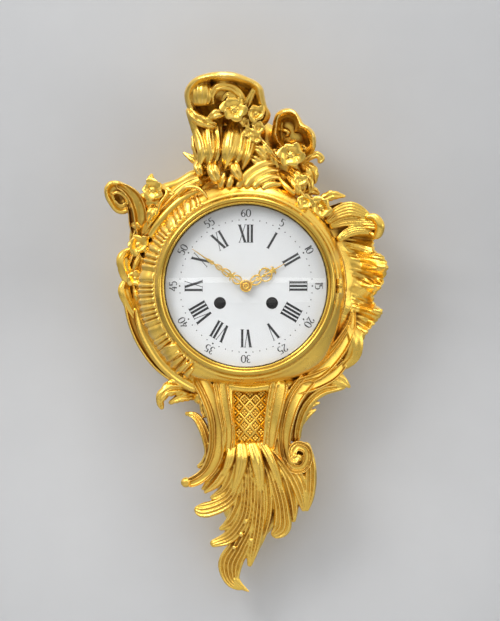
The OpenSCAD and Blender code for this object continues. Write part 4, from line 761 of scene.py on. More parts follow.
def wing_leaf():
    """Ruffled leaf from the cove to its wavy edge."""
    table = np.asarray(WING, float)
    last = len(WING) - 1
    t = np.linspace(0, last, WING_ALONG)
    i = np.minimum(t.astype(int), last - 1)
    p = between(*(table[np.clip(i + k, 0, last)] for k in (-1, 0, 1, 2)), (t - i)[:, None])
    angle = np.radians(p[:, :1])
    inner = np.hstack([WING_IN * np.cos(angle), WING_IN * np.sin(angle)])
    edge, z_edge = p[:, 1:3], p[:, 3:4]
    v = np.linspace(0, 1, WING_ACROSS)
    front = np.stack([np.interp(v, [0, 0.2, 0.4, 0.75, 0.93, 1], [63, 59.5, 58.5, z - 3, z, z - 1])
                      for z in p[:, 3]])
    # Striations run out from the cove and lean a little as they go
    run = np.r_[0, np.cumsum(np.linalg.norm(np.diff(edge, axis=0), axis=1))][:, None]
    pitch, sway = run / 5.6, 0.7 * np.sin(run / 13)
    wave = pitch + 2.1 * v[None] ** 1.3 + sway + 0.35 * np.sin(run / 5.1 + 2 * v[None])
    ridge = np.abs(np.sin(math.pi * wave)) ** 0.9
    broad = np.sin(2 * math.pi * (run / 27 + 0.5 * v[None]))
    broad = broad + 0.5 * np.sin(2 * math.pi * (run / 15.5 - 0.3 * v[None]))
    fade = np.interp(v, [0, 0.16, 0.36, 0.9, 1], [0, 0.1, 1, 1, 0.6])[None]
    front = front + fade * ((1.3 + 0.5 * np.sin(run / 9)) * ridge - 0.6 + 2.2 * broad)
    # The edge is nicked between them
    nick = (1.6 * np.abs(np.sin(math.pi * (pitch + 2.1 + sway))) - 0.9) * v[None] ** 6
    out = edge - inner
    flat = inner[:, None] + out[:, None] * v[None, :, None]
    out = out / np.linalg.norm(out, axis=1)[:, None]
    flat = flat + out[:, None] * nick[..., None]
    thick = np.interp(v, [0, 0.5, 0.9, 1], [22, 12, 4.5, 3])[None]
    back = np.minimum(front - thick, z_edge - 3 + 0 * v[None])
    shape = Shape()
    shape.rings(np.concatenate([np.dstack([flat, front]), np.dstack([flat, back])[:, ::-1]], 1))
    return shape


# Strands of the castings as [x, y, z, half width, half thickness], rims of hollows as [x, y, z]
WING_LEAVES = [
    [[80, 64, 66, 3, 4], [92, 74, 69, 6.5, 5], [106, 78, 70, 7.5, 5], [118, 74, 69, 5, 4], [125, 71, 67, 2, 3]],
    [[84, 60, 64, 3, 4], [98, 66, 66, 6, 4.5], [112, 67, 66, 6, 4.5], [124, 66, 68, 4, 4]],
    [[92, 46, 66, 3, 4], [103, 54, 67, 5, 4], [115, 57, 66, 5, 4], [127, 55, 66, 3, 3]],
]
WING_ROLL = [[120, 70, 68, 3, 4], [130, 69, 72, 4.5, 5], [135, 61, 74, 5, 5], [131, 51, 70, 4, 4], [125, 54, 68, 2, 3]]
WING_FOLD = [[103, -38, 59, 5, 5], [110, -54, 61, 8.5, 6], [108, -69, 60, 8.5, 5], [97, -83, 58, 4, 5]]
WING_FOOT = [[100, -76, 58, 5, 5], [88, -87, 61, 8, 6], [73, -95, 63, 9, 6], [58, -100, 64, 9, 6], [47, -104, 63, 7, 6]]
WING_HEM = [[109, -22, 58, 2, 3], [107, -38, 60, 4.5, 4.5], [99, -55, 62, 7.5, 6], [88, -70, 63, 9, 6],
            [75, -83, 64, 9.5, 6], [60, -93, 64, 8, 6]]
LEFT_BANDS = [
    [[-104, 46, 58, 5, 6], [-106, 62, 61, 7, 7], [-108, 78, 63, 7.5, 7], [-113, 90, 65, 7, 7], [-121, 98, 66, 5, 6],
     [-131, 102.5, 66, 3, 5]],
    [[-112, 52, 54, 4, 6], [-114, 64, 57, 5, 6], [-116, 76, 60, 4, 6], [-119, 85, 62, 3, 5]],
    [[-42, 108, 70, 6, 7], [-60, 101, 69, 6.5, 7], [-74, 90, 67, 6.5, 7], [-86, 78, 66, 6.5, 7], [-96, 64, 63, 7, 6],
     [-103, 49, 59, 6, 6]],
    [[-109, -20, 52, 5, 6], [-104, -42, 54, 7, 6], [-95, -60, 55, 8, 6], [-84, -76, 56, 8, 6], [-70, -89, 57, 8, 6],
     [-56, -98, 60, 8, 6], [-46, -104, 61, 6, 6]],
]
LEFT_RIM = [[-116, 77, 60], [-113, 86, 62], [-113.5, 94, 64], [-120, 102.5, 65], [-130, 107, 66], [-138, 106.5, 66],
            [-143.6, 99.5, 65], [-143, 91, 64], [-138.5, 82, 62], [-131, 74, 60], [-124, 73, 59]]
LEFT_FILL = [
    [[-99, 48, 54, 6, 6], [-101, 62, 57, 8, 6], [-102, 76, 60, 9, 6], [-103, 88, 61, 8, 6], [-101, 95, 60, 5, 5]],
    [[-26, 106, 60, 6, 6], [-40, 101, 63, 8, 6], [-54, 95, 66, 6, 6]],
    [[-104, 92, 58, 5, 5], [-96, 87, 62, 8, 6], [-86, 86, 64, 8, 6], [-76, 93, 64, 6, 6]],
    [[-44, 98, 74, 4.5, 5], [-62, 88.5, 74, 5, 5], [-76.5, 76.5, 73, 5, 5], [-88.5, 62, 71, 5, 5],
     [-97, 49, 66, 4.5, 5]],
]
LEFT_RIDGE = [[-118, 80, 60, 1.5, 3], [-122, 90, 62, 2, 3.4], [-130, 95, 63, 2, 3.4], [-136, 93, 62, 1.5, 3]]
LEFT_LEAVES = [
    [[-110, 64, 52, 6, 6], [-113.5, 52, 54, 5, 6], [-113, 40, 52, 5, 6], [-112, 29, 49, 3, 5]],
    [[-116, 39, 50, 3, 4], [-124.5, 29, 54, 7, 4.5], [-122.5, 14, 54, 7, 4.5], [-115, 0, 50, 4, 4]],
    [[-120, 9, 49, 4, 4], [-124, -3, 53, 6.4, 4.5], [-119, -18, 52, 6.4, 4.5], [-110, -36, 47, 4, 4]],
    [[-106, 33, 54, 3, 5], [-112, 22, 54, 3, 5], [-113, 8, 52, 3, 5], [-112, -8, 50, 3, 5], [-108, -24, 48, 3, 5]],
]
LEFT_CURL = [
    [[-56, -107, 50, 7, 7], [-70, -103.5, 56, 8, 7], [-82, -107, 60, 7, 6], [-87, -115, 60, 5, 5],
     [-85, -125, 56, 2, 3]],
    [[-52, -111, 50, 5, 5], [-66, -113, 54, 5, 5], [-79, -119, 54, 2, 3]],
    [[-60, -102, 52, 4, 5], [-72, -98, 57, 5, 5], [-85, -101, 58, 2, 3]],
]
# Shell at the lower left: x and y of the inner and the outer end of each rib
SHELL_FAN = [[-66, -58, -82, -63], [-66, -61, -83, -69], [-65, -65, -81, -75], [-62, -70, -76, -81],
             [-57, -76, -70, -87], [-52, -81, -62, -92]]


def left_scroll():
    shape = Shape()
    bowl(shape, LEFT_RIM, (-127, 90), back=44, floor=63, lip=5.6, proud=0.7)
    sweep(shape, LEFT_RIDGE, crowned, 1.0)
    sweeps(shape, LEFT_FILL, crowned, 1.0, 17)
    sweeps(shape, LEFT_BANDS[:2], channel, 1.0, 25)
    sweeps(shape, LEFT_BANDS[2:], reeded(3, 0.2, 0.45), 1.0, 25)
    sweeps(shape, LEFT_LEAVES[:1] + LEFT_LEAVES[3:], reeded(3), 1.0, 17)
    sweeps(shape, LEFT_LEAVES[1:3], folded, 0.8, 21, lobes=2, cut=0.12)
    sweeps(shape, LEFT_CURL, leafy, 1.0, 17, lobes=5, cut=0.2)
    for x0, y0, x1, y1 in SHELL_FAN:
        mid = [(x0 + x1) / 2, (y0 + y1) / 2]
        sweep(shape, laid([[x0, y0, 0, 1.8, 2.4], [*mid, 2.2, 3.1, 3], [x1, y1, 0.5, 2.4, 2.6]]), crowned, 0.8, 11)
    return shape


# Neck: [y, left, right, front] of its hollow body
NECK_ROWS = [[-166, -38, 46, 64], [-157, -38, 46, 68], [-140, -40, 47, 69], [-125, -42, 50, 69],
             [-110, -46, 54, 69], [-92, -50, 58, 69]]
# Its window: heights, left edges and right edges
WINDOW = ([-166, -156, -104, -92], [-9.5, -10, -13, -13.5], [16.5, 17, 21, 21.5])
# Reeds beside the window, moulded bands, leaves
NECK_REEDS = [
    [[-15.6, -96, 69, 2.2, 3.4], [-15, -125, 70.5, 2.2, 3.6], [-12.4, -148, 69, 2.2, 3.6], [-12.5, -165, 63, 2, 3]],
    [[23.6, -96, 69, 2.2, 3.4], [22, -125, 70.5, 2.2, 3.6], [19.4, -148, 69, 2.2, 3.6], [17, -166, 63, 2, 3]],
]
NECK_BANDS = [
    [[-27, -93, 70, 7.8, 5], [-22.5, -122, 71, 7, 5], [-18.6, -148.5, 69, 6, 5], [-20.2, -169.7, 63, 5, 4]],
    [[-49, -90, 64, 8.7, 6], [-39, -108, 67, 9, 6], [-31, -130, 68, 9, 6], [-29.1, -150.6, 66, 8.5, 6],
     [-32.4, -174, 62, 8, 6], [-41.6, -189.7, 58, 6.5, 6], [-52.8, -197.5, 56, 5.8, 6], [-60, -199.7, 54, 4.5, 5]],
    [[34.5, -94, 69, 10, 5], [29, -122, 70, 9, 5], [25.1, -145.4, 68, 7.5, 5], [23.2, -167.6, 62, 5.5, 4]],
    [[66, -90, 62, 9, 6], [49, -112, 66, 9, 6], [41, -136, 66, 8, 6], [38.7, -155.9, 64, 6.5, 6],
     [41.5, -174.1, 61, 5.6, 6], [47.6, -184.3, 62, 4.8, 5], [56.7, -184.2, 64, 4.8, 5], [62.6, -174.8, 66, 4.8, 5],
     [60.4, -164.1, 68, 5, 5], [51.3, -161, 69, 5, 5], [46.8, -167.2, 70, 4.6, 4], [48.9, -174.4, 71, 4, 4],
     [53.4, -172.3, 72, 3, 4]],
]
NECK_LEAVES = [
    [[-62.2, -129, 50, 1.5, 2.5], [-52.2, -131.6, 54, 4, 5], [-44.3, -142.1, 57, 5.4, 6], [-39.5, -155.9, 58, 5, 6],
     [-37.6, -168.5, 57, 5, 6], [-41.7, -178.9, 54, 4.5, 5], [-49.8, -184.1, 52, 2, 3]],
    [[-42, -112, 58, 3, 4], [-44, -121, 58, 3.4, 4], [-40.2, -133.6, 58, 3, 4]],
    [[102, -101, 56, 3, 3], [92, -101, 57, 6, 5], [78, -103, 58, 8, 6], [65, -112, 58, 8, 6],
     [55.1, -126.3, 57, 8, 6], [50.4, -143.2, 56, 7, 6], [49.2, -158.2, 56, 6, 5]],
    [[74, -86, 54, 9, 6], [88, -91, 58, 8.5, 6], [99, -97, 59, 5, 4], [106, -103, 57, 1, 2]],
    [[52.2, -130.6, 50, 5, 5], [65, -121.1, 53, 3.6, 4], [75.5, -118, 51, 1.2, 2]],
    [[50.5, -143.4, 50, 5, 5], [62.3, -130.5, 53, 3.8, 4], [71.6, -124.7, 51, 1.2, 2]],
]
# Plain metal between the bands
NECK_FILL = [
    [[-42, -90, 57, 10, 8], [-31, -120, 60, 9, 8], [-25, -150, 58, 8, 8], [-26, -176, 54, 7, 7]],
    [[48, -92, 57, 12, 8], [38, -120, 60, 10, 8], [31, -150, 61, 9, 8], [34, -172, 56, 8, 7], [44, -190, 50, 8, 7]],
]
# Bars below and above its window, bosses behind its leaves and the middle of the volute
NECK_BARS = [
    [[-26, -161, 58, 6, 6], [4, -162, 60, 6, 7], [32, -161, 58, 6, 6]],
    [[-26, -99, 66, 6, 6], [4, -103, 70, 4.5, 4], [36, -98, 66, 6, 6]],
]
NECK_BOSSES = [(-46, -112), (50, -114), (66, -106)]
VOLUTE = (52.6, -172.8)


def neck_shape():
    shape = Shape()
    rows = spline([[y, 0, 0, a, b, f] for y, a, b, f in NECK_ROWS], 2.5)[1]
    left = np.interp(rows[:, 0], WINDOW[0], WINDOW[1])
    right = np.interp(rows[:, 0], WINDOW[0], WINDOW[2])
    for side in (0, 1):
        walls = []
        for (y, _, _, a, b, f), inner in zip(rows, right if side else left):
            e, k = (b, -1) if side else (a, 1)
            walls.append([[x, y, z] for x, z in (
                (e, 2), (e + 3 * k, 2), (e + 3 * k, 32), (e + 11 * k, 48), (inner, 58), (inner, f),
                (inner - 6 * k, f + 0.5), (e + 8 * k, 57), (e + 2 * k, 48), (e, 36))])
        shape.rings(walls)
    sweeps(shape, NECK_BARS, crowned, 1.5)
    sweeps(shape, NECK_REEDS, crowned, 1.2)
    sweeps(shape, NECK_BANDS, moulded, 1.0, 41)
    sweeps(shape, NECK_LEAVES[:1] + NECK_LEAVES[2:3], reeded(3, 0.4), 1.0, 25)
    sweeps(shape, NECK_LEAVES[1:2] + NECK_LEAVES[3:], leafy, 1.0, 17)
    shape.ball(-61, -199, 55, 5.5, 1.1)
    shape.ball(*VOLUTE, 68, 5, 1.2)
    shape.ball(*VOLUTE, 60, 13, 0.6, 24)
    sweeps(shape, NECK_FILL, crowned, 1.5)
    for x, y in NECK_BOSSES:
        shape.ball(x, y, 48, 9)
    return shape


# Tail: core rows [y, middle, half width, back, front], its feathered strands, and beads [x, y, z, radius]
TAIL_ROWS = [[-282.5, -12.3, 9.2, 14, 30], [-264.3, -2, 15.4, 14, 36], [-245.5, 6.1, 24.5, 12, 40],
             [-224.4, 10.2, 36.7, 10, 46], [-203.6, 12.2, 42.8, 8, 50], [-182.4, 10.1, 38.5, 6, 54],
             [-158, 5, 30, 8, 56]]
TAIL = [
    [[-15, -160, 60, 3, 5], [-19.2, -182, 60, 4, 5], [-29.4, -198.9, 58, 4, 5], [-42.7, -209.9, 54, 1.6, 3]],
    [[-11, -160, 61, 3, 5], [-13.2, -187.4, 61, 4.5, 6], [-21.3, -205, 57, 4.5, 5], [-36.6, -215.6, 53, 1.6, 3]],
    [[-8, -160, 62, 3, 5], [-8.1, -192.6, 60, 5, 6], [-17.3, -215.4, 55, 6, 6], [-32.5, -224.7, 53, 6.5, 5],
     [-46.8, -227.5, 51, 6, 4], [-52.9, -226, 50, 3.4, 3]],
    [[-5, -160, 62, 3, 5], [-3, -197.7, 60, 5, 6], [-8.1, -225.6, 54, 5, 6], [-18.3, -242.5, 48, 4.5, 5],
     [-27.6, -248, 45, 1.6, 3]],
    [[-2, -160, 63, 3, 5], [1, -202.7, 60, 5, 6], [-5.1, -239.3, 50, 6, 6], [-18.4, -256.2, 44, 6, 5],
     [-36.8, -263.7, 41, 3.6, 3]],
    [[1, -160, 63, 3, 5], [7.1, -202.7, 60, 5, 6], [3.1, -244.6, 48, 7, 6], [-8.2, -268, 40, 9, 6],
     [-16.4, -286.1, 34, 10, 6], [-13.3, -301.8, 32, 7, 5], [-3.1, -310.3, 33, 3, 3]],
    [[4, -160, 63, 3, 5], [13.2, -202.7, 60, 5, 6], [11.2, -244.6, 48, 6, 6], [7.2, -268, 40, 5.5, 5],
     [3.1, -287, 35, 2.2, 3]],
    [[8, -160, 62, 3, 5], [20.3, -202.8, 59, 5, 6], [20.4, -232, 51, 5.5, 6], [15.3, -253.2, 44, 5, 5],
     [9.2, -274.3, 38, 1.8, 3]],
    [[13, -160, 62, 3, 5], [30.4, -200.9, 58, 5.5, 6], [36.6, -228.9, 52, 6.5, 6], [35.7, -246.6, 48, 8, 5],
     [26.5, -255.1, 45, 4, 3]],
    [[18, -160, 61, 3, 5], [40.6, -197.8, 58, 5.5, 6], [46.8, -221.8, 52, 6, 6], [48.4, -240.5, 48, 2.2, 3]],
    [[24, -162.2, 60, 3, 5], [48.7, -194.8, 58, 5.5, 6], [56.9, -215.5, 54, 5, 5], [59, -229, 51, 2.2, 3]],
    [[58, -158, 58, 5, 5], [64.6, -179.7, 60, 5, 6], [65.4, -200.9, 58, 4.8, 6], [63.5, -219.5, 54, 3.5, 4],
     [61, -228.9, 52, 2, 3]],
]
TAIL_EDGE = [[46.5, -179.9, 58, 3, 4], [54.8, -194.8, 58, 5.4, 5], [58.9, -211.3, 55, 5, 5],
             [60, -224.8, 52, 2.4, 3]]
TAIL_BACK = [[44, -160, 50, 9, 9], [52.7, -180.3, 50, 10, 9], [54, -201.8, 48, 10, 9], [51, -218.3, 46, 8, 7]]
TAIL_ROLL = [
    [[-13, -164, 58, 3, 4], [-23, -179, 57, 4.6, 4], [-33, -192, 55, 4.6, 4], [-45, -207, 52, 1.5, 3]],
    [[-17, -161, 55, 3, 4], [-29, -175, 54, 4.4, 4], [-40, -188, 52, 3, 3.5]],
    [[-15, -292, 31, 3, 3], [-9, -304, 32.5, 4.2, 3], [3.5, -313.5, 32, 0.7, 1.2]],
    [[-14, -158, 62, 4, 4], [-16, -174, 66, 5, 4], [-23, -191, 62, 2.6, 3]],
    [[-5, -157, 64, 5, 4], [-4, -173, 69, 6.2, 5], [-8, -194, 65, 4.6, 4], [-15, -212, 58, 2, 3]],
    [[5, -157, 64, 5, 4], [10, -173, 69, 6.4, 5], [14, -196, 65, 5, 4], [13, -218, 57, 2, 3]],
    [[15, -157, 63, 4, 4], [24, -173, 67, 5, 5], [32, -194, 62, 4, 4], [37, -211, 57, 2, 3]],
]
TAIL_BEADS = [[-1, -238.7, 55, 3.2], [-5.1, -252.4, 51, 2.8], [-12.2, -266.2, 46, 2.4], [5.1, -258.8, 48, 2]]


def tail_shape():
    shape = Shape()
    block(shape, TAIL_ROWS)
    sweep(shape, TAIL_BACK, crowned, 1.5)
    sweep(shape, TAIL_EDGE, reeded(3, 0.42, 0.35), 1.0, 25)
    # Locks lie in turn a little higher and lower, and have a reed for every 2.1 mm of half width
    for k, s in enumerate(TAIL):
        wide = [1.25] * (len(s) - 2) + [1.15, 1.0]
        lock = [[x, y, z + 0.9 * (-1) ** k, w * f, t] for (x, y, z, w, t), f in zip(s, wide)]
        reeds = max(round(max(w for _, _, _, w, _ in lock) / 2.1), 2)
        sweep(shape, lock, reeded(reeds, 0.42, 0.35), 1.0, 8 * reeds + 1)
    sweeps(shape, TAIL_ROLL, reeded(3, 0.25, 0.5), 0.9, 25)
    for bead in TAIL_BEADS:
        shape.ball(*bead)
    return shape


# Crest: core rows, the rims of its two hoods, then strands
CREST_ROWS = [[104, -10, 34, 22, 60], [125, -15, 32, 24, 66], [145, -14, 32, 28, 68], [160, -15, 34, 30, 66],
              [172, -18, 34, 32, 58]]
HOOD_RIM = [[-50, 163, 74], [-57, 174, 78], [-61, 184, 82], [-62, 193, 87], [-58, 202, 93], [-50, 208.5, 98],
            [-39, 212, 101], [-25, 213.5, 103], [-11, 212.5, 102], [1, 208.5, 99], [11, 204, 96], [17, 198, 92],
            [19, 189, 88], [21, 181, 84], [25, 173, 78], [20, 163, 70], [4, 159, 66], [-16, 158, 66], [-36, 158, 68]]
SMALL_RIM = [[27, 166, 74], [30, 174, 77], [36, 178, 80], [42, 179, 82], [49, 176.5, 84], [54, 170, 86],
             [58, 163, 88], [64, 159, 90], [69, 153, 90], [70.5, 145, 88], [69, 136, 82], [60, 131, 70],
             [44, 132, 64], [32, 140, 64], [26, 152, 68]]
CREST_BANDS = [
    [[-33, 181, 84, 3.5, 4], [-34, 192, 90, 4, 5], [-28, 198.5, 94, 4.5, 5], [-17, 199, 95, 4.5, 5],
     [-7, 193, 92, 4, 5], [-1, 183, 86, 2, 4]],
    [[-24, 185, 86, 2, 3], [-18, 192, 91, 3, 4], [-9, 189, 90, 3, 4], [-3, 181, 86, 1.5, 3]],
    [[0, 178, 82, 3, 4], [4, 189, 88, 4, 4], [11, 202, 94, 1.5, 3]],
    [[-20, 174, 86, 3, 4], [-29, 172.5, 89, 5.5, 5], [-39, 167.5, 84, 1.6, 3]],
]
CREST_LOBES = [
    [[-58, 180, 78, 4, 6], [-53, 168, 78, 5.5, 6], [-48.5, 158, 76, 7, 7], [-44.5, 147, 79, 7, 7],
     [-43, 134, 83, 6, 7], [-47, 121, 79, 2.4, 5]],
    [[-36, 170, 67, 4.2, 6], [-37, 160, 75, 5, 7], [-36, 148, 82, 6, 7], [-35, 135, 86, 5, 6], [-39, 119, 81, 2, 4]],
    [[-28, 174, 67, 4.2, 6], [-28, 161, 74, 5, 7], [-27, 149, 78, 5, 7], [-28, 135, 84, 4.6, 6],
     [-32, 121, 82, 2, 4]],
    [[-12, 172, 67, 5, 6], [-12.5, 160, 76, 7, 7], [-14, 148, 85, 8.6, 8], [-17, 133, 89, 7.4, 7],
     [-22, 117, 84, 2, 4]],
    [[-3, 171, 67, 4, 6], [-3, 159, 74, 5, 7], [-4, 147, 80, 5.6, 7], [-7, 133, 87, 5.2, 6], [-13, 118, 84, 2, 4]],
    [[5, 168, 67, 4, 6], [5, 155, 75, 5, 6], [4, 143, 79, 6, 7], [1, 131, 85, 5, 6], [-5, 116, 83, 2, 4]],
]
CREST_TIPS = [
    [[-42, 124, 68, 5, 5], [-50, 138, 71, 5, 4], [-53.5, 153, 68, 2, 3]],
    [[-40, 118, 66, 5, 5], [-53, 128, 69, 4.4, 4], [-64, 135.5, 66, 1, 2]],
    [[4, 142, 76, 3, 4], [14, 136, 80, 5, 4], [22, 127, 76, 4, 4]],
    [[2, 132, 76, 3, 4], [10, 126, 80, 5, 4], [20, 122, 76, 2, 3]],
    [[12, 150, 74, 1.6, 3], [22, 138, 79, 3.4, 4], [35, 124, 74, 1.4, 3]],
    [[16, 144, 70, 1.6, 3], [25, 132, 76, 3.4, 4], [33, 119, 72, 1.4, 3]],
    [[40, 140, 66, 3, 4], [52, 141.5, 72, 4, 4], [66, 135, 74, 2, 3]],
]
CREST_ARMS = [
    [[-38, 117, 58, 6, 7], [-54, 112, 61, 6, 7], [-68, 104, 61, 5.6, 7], [-82, 99.5, 61, 5.4, 7], [-93, 97, 60, 4, 6]],
    [[-33, 112, 66, 2.4, 4], [-48, 105, 71, 2.6, 4], [-61, 98, 73, 2.6, 4], [-68, 88, 74, 2.2, 3]],
    [[-69, 91, 78, 1.6, 2.4], [-61, 98.5, 83, 2, 3], [-51, 99, 86, 2, 3], [-43, 94, 88, 2, 3], [-38, 87, 90, 1.6, 2.4]],
]
CREST_CURLS = [
    [[-34, 124, 82, 5, 5], [-32.5, 115, 90, 6.4, 6], [-30, 108, 91, 5.4, 5], [-28, 104, 87, 2.4, 4]],
    [[-13, 124, 84, 4.6, 5], [-10.5, 116, 91, 5.4, 5.5], [-7.5, 110, 91, 4.4, 5], [-5.5, 106, 88, 2, 4]],
    [[-48, 126, 76, 4.4, 5], [-47.5, 117, 82, 5, 5], [-44, 110, 82, 3.6, 4]],
]
# Floor of the small hood, then folds in both hoods
HOOD_BED = [[33, 172, 58, 8, 6], [41, 162, 58, 13, 8], [51, 151, 58, 13, 8], [59, 141, 58, 9, 6]]
HOOD_FOLDS = [
    [[-58, 178, 80, 3.5, 5], [-50, 169, 83, 6, 6], [-40, 164, 83, 6, 6], [-29, 161, 81, 4, 5]],
    [[38, 138, 60, 3, 5], [35, 152, 60, 3.4, 6], [36, 168, 66, 2.4, 5]],
]
SHELL_RIBS = [
    [[-26, 97, 86, 3, 4], [-24, 105, 86, 3.8, 5], [-21, 114, 80, 3.2, 5]],
    [[-18, 97, 87, 3.2, 4], [-15.5, 105, 87, 4, 5], [-11, 115, 80, 3.2, 5]],
    [[-9, 97, 87, 3.4, 4], [-4, 106, 86, 4.4, 5], [6, 116, 82, 4.8, 5], [19, 123, 77, 4.4, 5], [30, 124, 72, 2.6, 4]],
    [[-1, 97, 87, 3.4, 4], [4, 105, 86, 4.4, 5], [13, 112, 82, 4.8, 5], [24, 116.5, 77, 4.4, 5], [33, 116, 72, 2.6, 4]],
    [[7, 96.5, 87, 3.2, 4], [11, 102, 86, 4, 5], [19, 107, 82, 4.4, 5], [28, 109.5, 78, 3.8, 5], [36, 108, 74, 2.4, 4]],
    [[15, 96, 87, 2.8, 4], [20, 99.5, 85, 3.6, 4], [28, 102, 82, 3.6, 4], [36, 101.5, 79, 2.2, 4]],
]
# Plain metal behind the shell, the flowers and the hoods
CREST_BACK = [
    [[-30, 106, 66, 10, 12], [-5, 109, 68, 12, 13], [18, 110, 66, 12, 12], [38, 106, 62, 10, 10], [50, 100, 58, 7, 8]],
    [[18, 130, 56, 13, 10], [40, 124, 56, 14, 10], [56, 115, 54, 10, 9], [64, 105, 52, 6, 7]],
    [[-10, 168, 40, 20, 10], [10, 150, 40, 22, 10], [34, 138, 40, 20, 10]],
]
# Blossoms as [x, y, z, radius, turn]
BLOSSOMS = [[10, 173, 84, 8.5, 20], [12, 159, 82, 6.5, 50], [-1, 164, 82, 5, 10], [2, 154, 82, 5, 70],
            [10, 148.5, 82, 5.5, 35]]
# Curls: inside the small hood, and at the right of the flower
HOOD_CURL = [[34, 156, 60, 2, 3], [38, 158, 66, 2.4, 3], [43, 155, 68, 2, 3], [40, 151, 66, 1.4, 2]]
RIGHT_CURL = [[56, 122, 66, 3, 4], [64, 130, 72, 3.6, 5], [72, 132, 75, 3.8, 5], [76, 127.5, 76, 3.4, 4],
              [72, 124.5, 76, 2.4, 3]]
# Fluted drum inside the great hood: its middle, radius and half height
DRUM, DRUM_R, DRUM_HALF = (-43.5, 193, 85), 13.2, 14


def crest_shape():
    shape = Shape()
    block(shape, CREST_ROWS)
    bowl(shape, HOOD_RIM, (-21, 186), back=34, floor=62, lip=9, proud=0.75)
    bowl(shape, SMALL_RIM, (47, 154), back=30, floor=60, lip=7.5, proud=0.8)
    sweep(shape, HOOD_BED, crowned, 1.0, 21)
    sweeps(shape, CREST_BACK, crowned, 2.0)
    turn = np.linspace(0, 2 * math.pi, 96, endpoint=False)
    flute = 1 - 0.05 * np.abs(np.sin(8 * turn)) ** 2
    rings = []
    for k in np.linspace(-1, 1, 21):
        r = DRUM_R * math.sqrt(max(1 - k * k, 0.003)) ** 0.7
        rings.append(np.stack([DRUM[0] + r * flute * np.cos(turn), 0 * turn + DRUM[1] + DRUM_HALF * k,
                               DRUM[2] + r * flute * np.sin(turn)], -1))
    shape.rings(rings)
    sweeps(shape, CREST_BANDS, leafy, 0.9, 15)
    sweeps(shape, CREST_LOBES, folded, 0.8, 25)
    sweeps(shape, CREST_TIPS, leafy, 0.9, 15, lobes=4, cut=0.18)
    sweep(shape, CREST_ARMS[0], crowned, 1.0, 17)
    sweeps(shape, CREST_ARMS[1:], crowned, 0.9, 11)
    sweeps(shape, CREST_CURLS + HOOD_FOLDS, leafy, 0.9, 17)
    sweeps(shape, SHELL_RIBS, crowned, 1.0, 13)
    sweep(shape, HOOD_CURL, crowned, 0.8, 11)
    flower(shape, -12, 177, 90, 12.5, turn=100, petals=6, cup=0.36, lean=(0, 0.1))
    for x, y, z, r, turn in BLOSSOMS:
        flower(shape, x, y, z, r, turn, cup=0.5)
        shape.ball(x, y, z - r * 0.7, r * 0.8)
    flower(shape, 45, 131.5, 80, 12.5, turn=40, petals=6, cup=0.4, lean=(0.1, 0))
    shape.ball(45, 131.5, 68, 10)
    sweep(shape, RIGHT_CURL, reeded(2), 0.8, 15)
    return shape


# Garlands of flowers, leaves and stems
RIGHT_LEAVES = [
    [[57, 125, 66, 4, 5], [66, 115, 72, 7.5, 5], [69, 103, 68, 2.5, 3]],
    [[44, 118, 70, 3, 4], [52, 111, 79, 5.4, 4.5], [57, 102, 81, 4.4, 4], [57, 93, 79, 1.6, 3]],
    [[42, 110, 74, 2.6, 4], [48, 104, 81, 4.2, 4], [52, 97, 83, 3.6, 4], [53, 90, 82, 1.6, 3]],
    [[56, 113, 70, 3, 4], [63, 106, 76, 4.8, 4], [65, 98, 75, 3.8, 4], [63, 91, 73, 1.6, 3]],
    [[72, 84, 66, 4, 5], [86, 91.5, 69, 5.5, 4], [101, 91, 65, 1, 2]],
    [[58, 92, 72, 3, 5], [66, 96.5, 73, 5, 5], [74, 93, 68, 1.6, 3]],
]
RIGHT_STEMS = [
    [[30, 119, 64, 3, 6], [34, 108, 74, 3.2, 6], [42, 98, 82, 3.2, 6], [50, 91, 84, 2.6, 5]],
    [[44, 112, 70, 2, 4], [51, 101, 80, 2, 4], [58, 90, 82, 2, 4], [66, 80, 78, 2, 4]],
]
RIGHT_FLOWERS = [[55, 106, 82, 6.5, 14], [59, 84, 86, 8, 60], [75, 79, 76, 10.5, 30]]
LEFT_STEMS = [
    [[-86, 100, 66, 2.4, 4], [-80, 94, 72, 2.4, 4], [-86, 84, 74, 2, 3], [-90, 72, 72, 2, 3], [-99, 60, 66, 2, 3],
     [-106, 50, 60, 2, 3]],
    [[-108, 34, 56, 2.2, 4], [-104, 24, 62, 2, 4], [-107, 14, 60, 2, 4], [-110, 6, 58, 2, 4]],
    [[-92, 62, 70, 1.8, 3], [-95, 54, 68, 1.8, 3], [-101, 47, 64, 1.8, 3]],
]
LEFT_GARLAND_LEAVES = [
    [[-93, 101, 68, 4, 5], [-96, 107, 72, 4.4, 4], [-95, 113.5, 68, 1.2, 2]],
    [[-93, 82, 68, 4, 4], [-95, 74, 73, 5.5, 4], [-99, 64, 68, 2, 3]],
    [[-112, 2, 54, 3, 5], [-109, -10, 60, 4.8, 5], [-105, -22, 57, 1.6, 3]],
    [[-104, 42, 60, 3, 4], [-99, 35, 66, 4, 4], [-97, 26, 64, 1, 2]],
    [[-106, 4, 58, 3, 4], [-101, -4, 64, 3.5, 4], [-99, -14, 62, 1, 2]],
    [[-86, 100, 64, 4, 5], [-78, 95, 70, 4.5, 4], [-71, 92, 72, 1.6, 3]],
    [[-106, 56, 58, 3, 4], [-112, 62, 62, 4, 4], [-117, 62, 58, 1.2, 2]],
]
LEFT_FLOWERS = [[-94, 97, 74, 10.5, 90], [-109, 42, 64, 10, 20], [-112, 8, 62, 8, 60]]


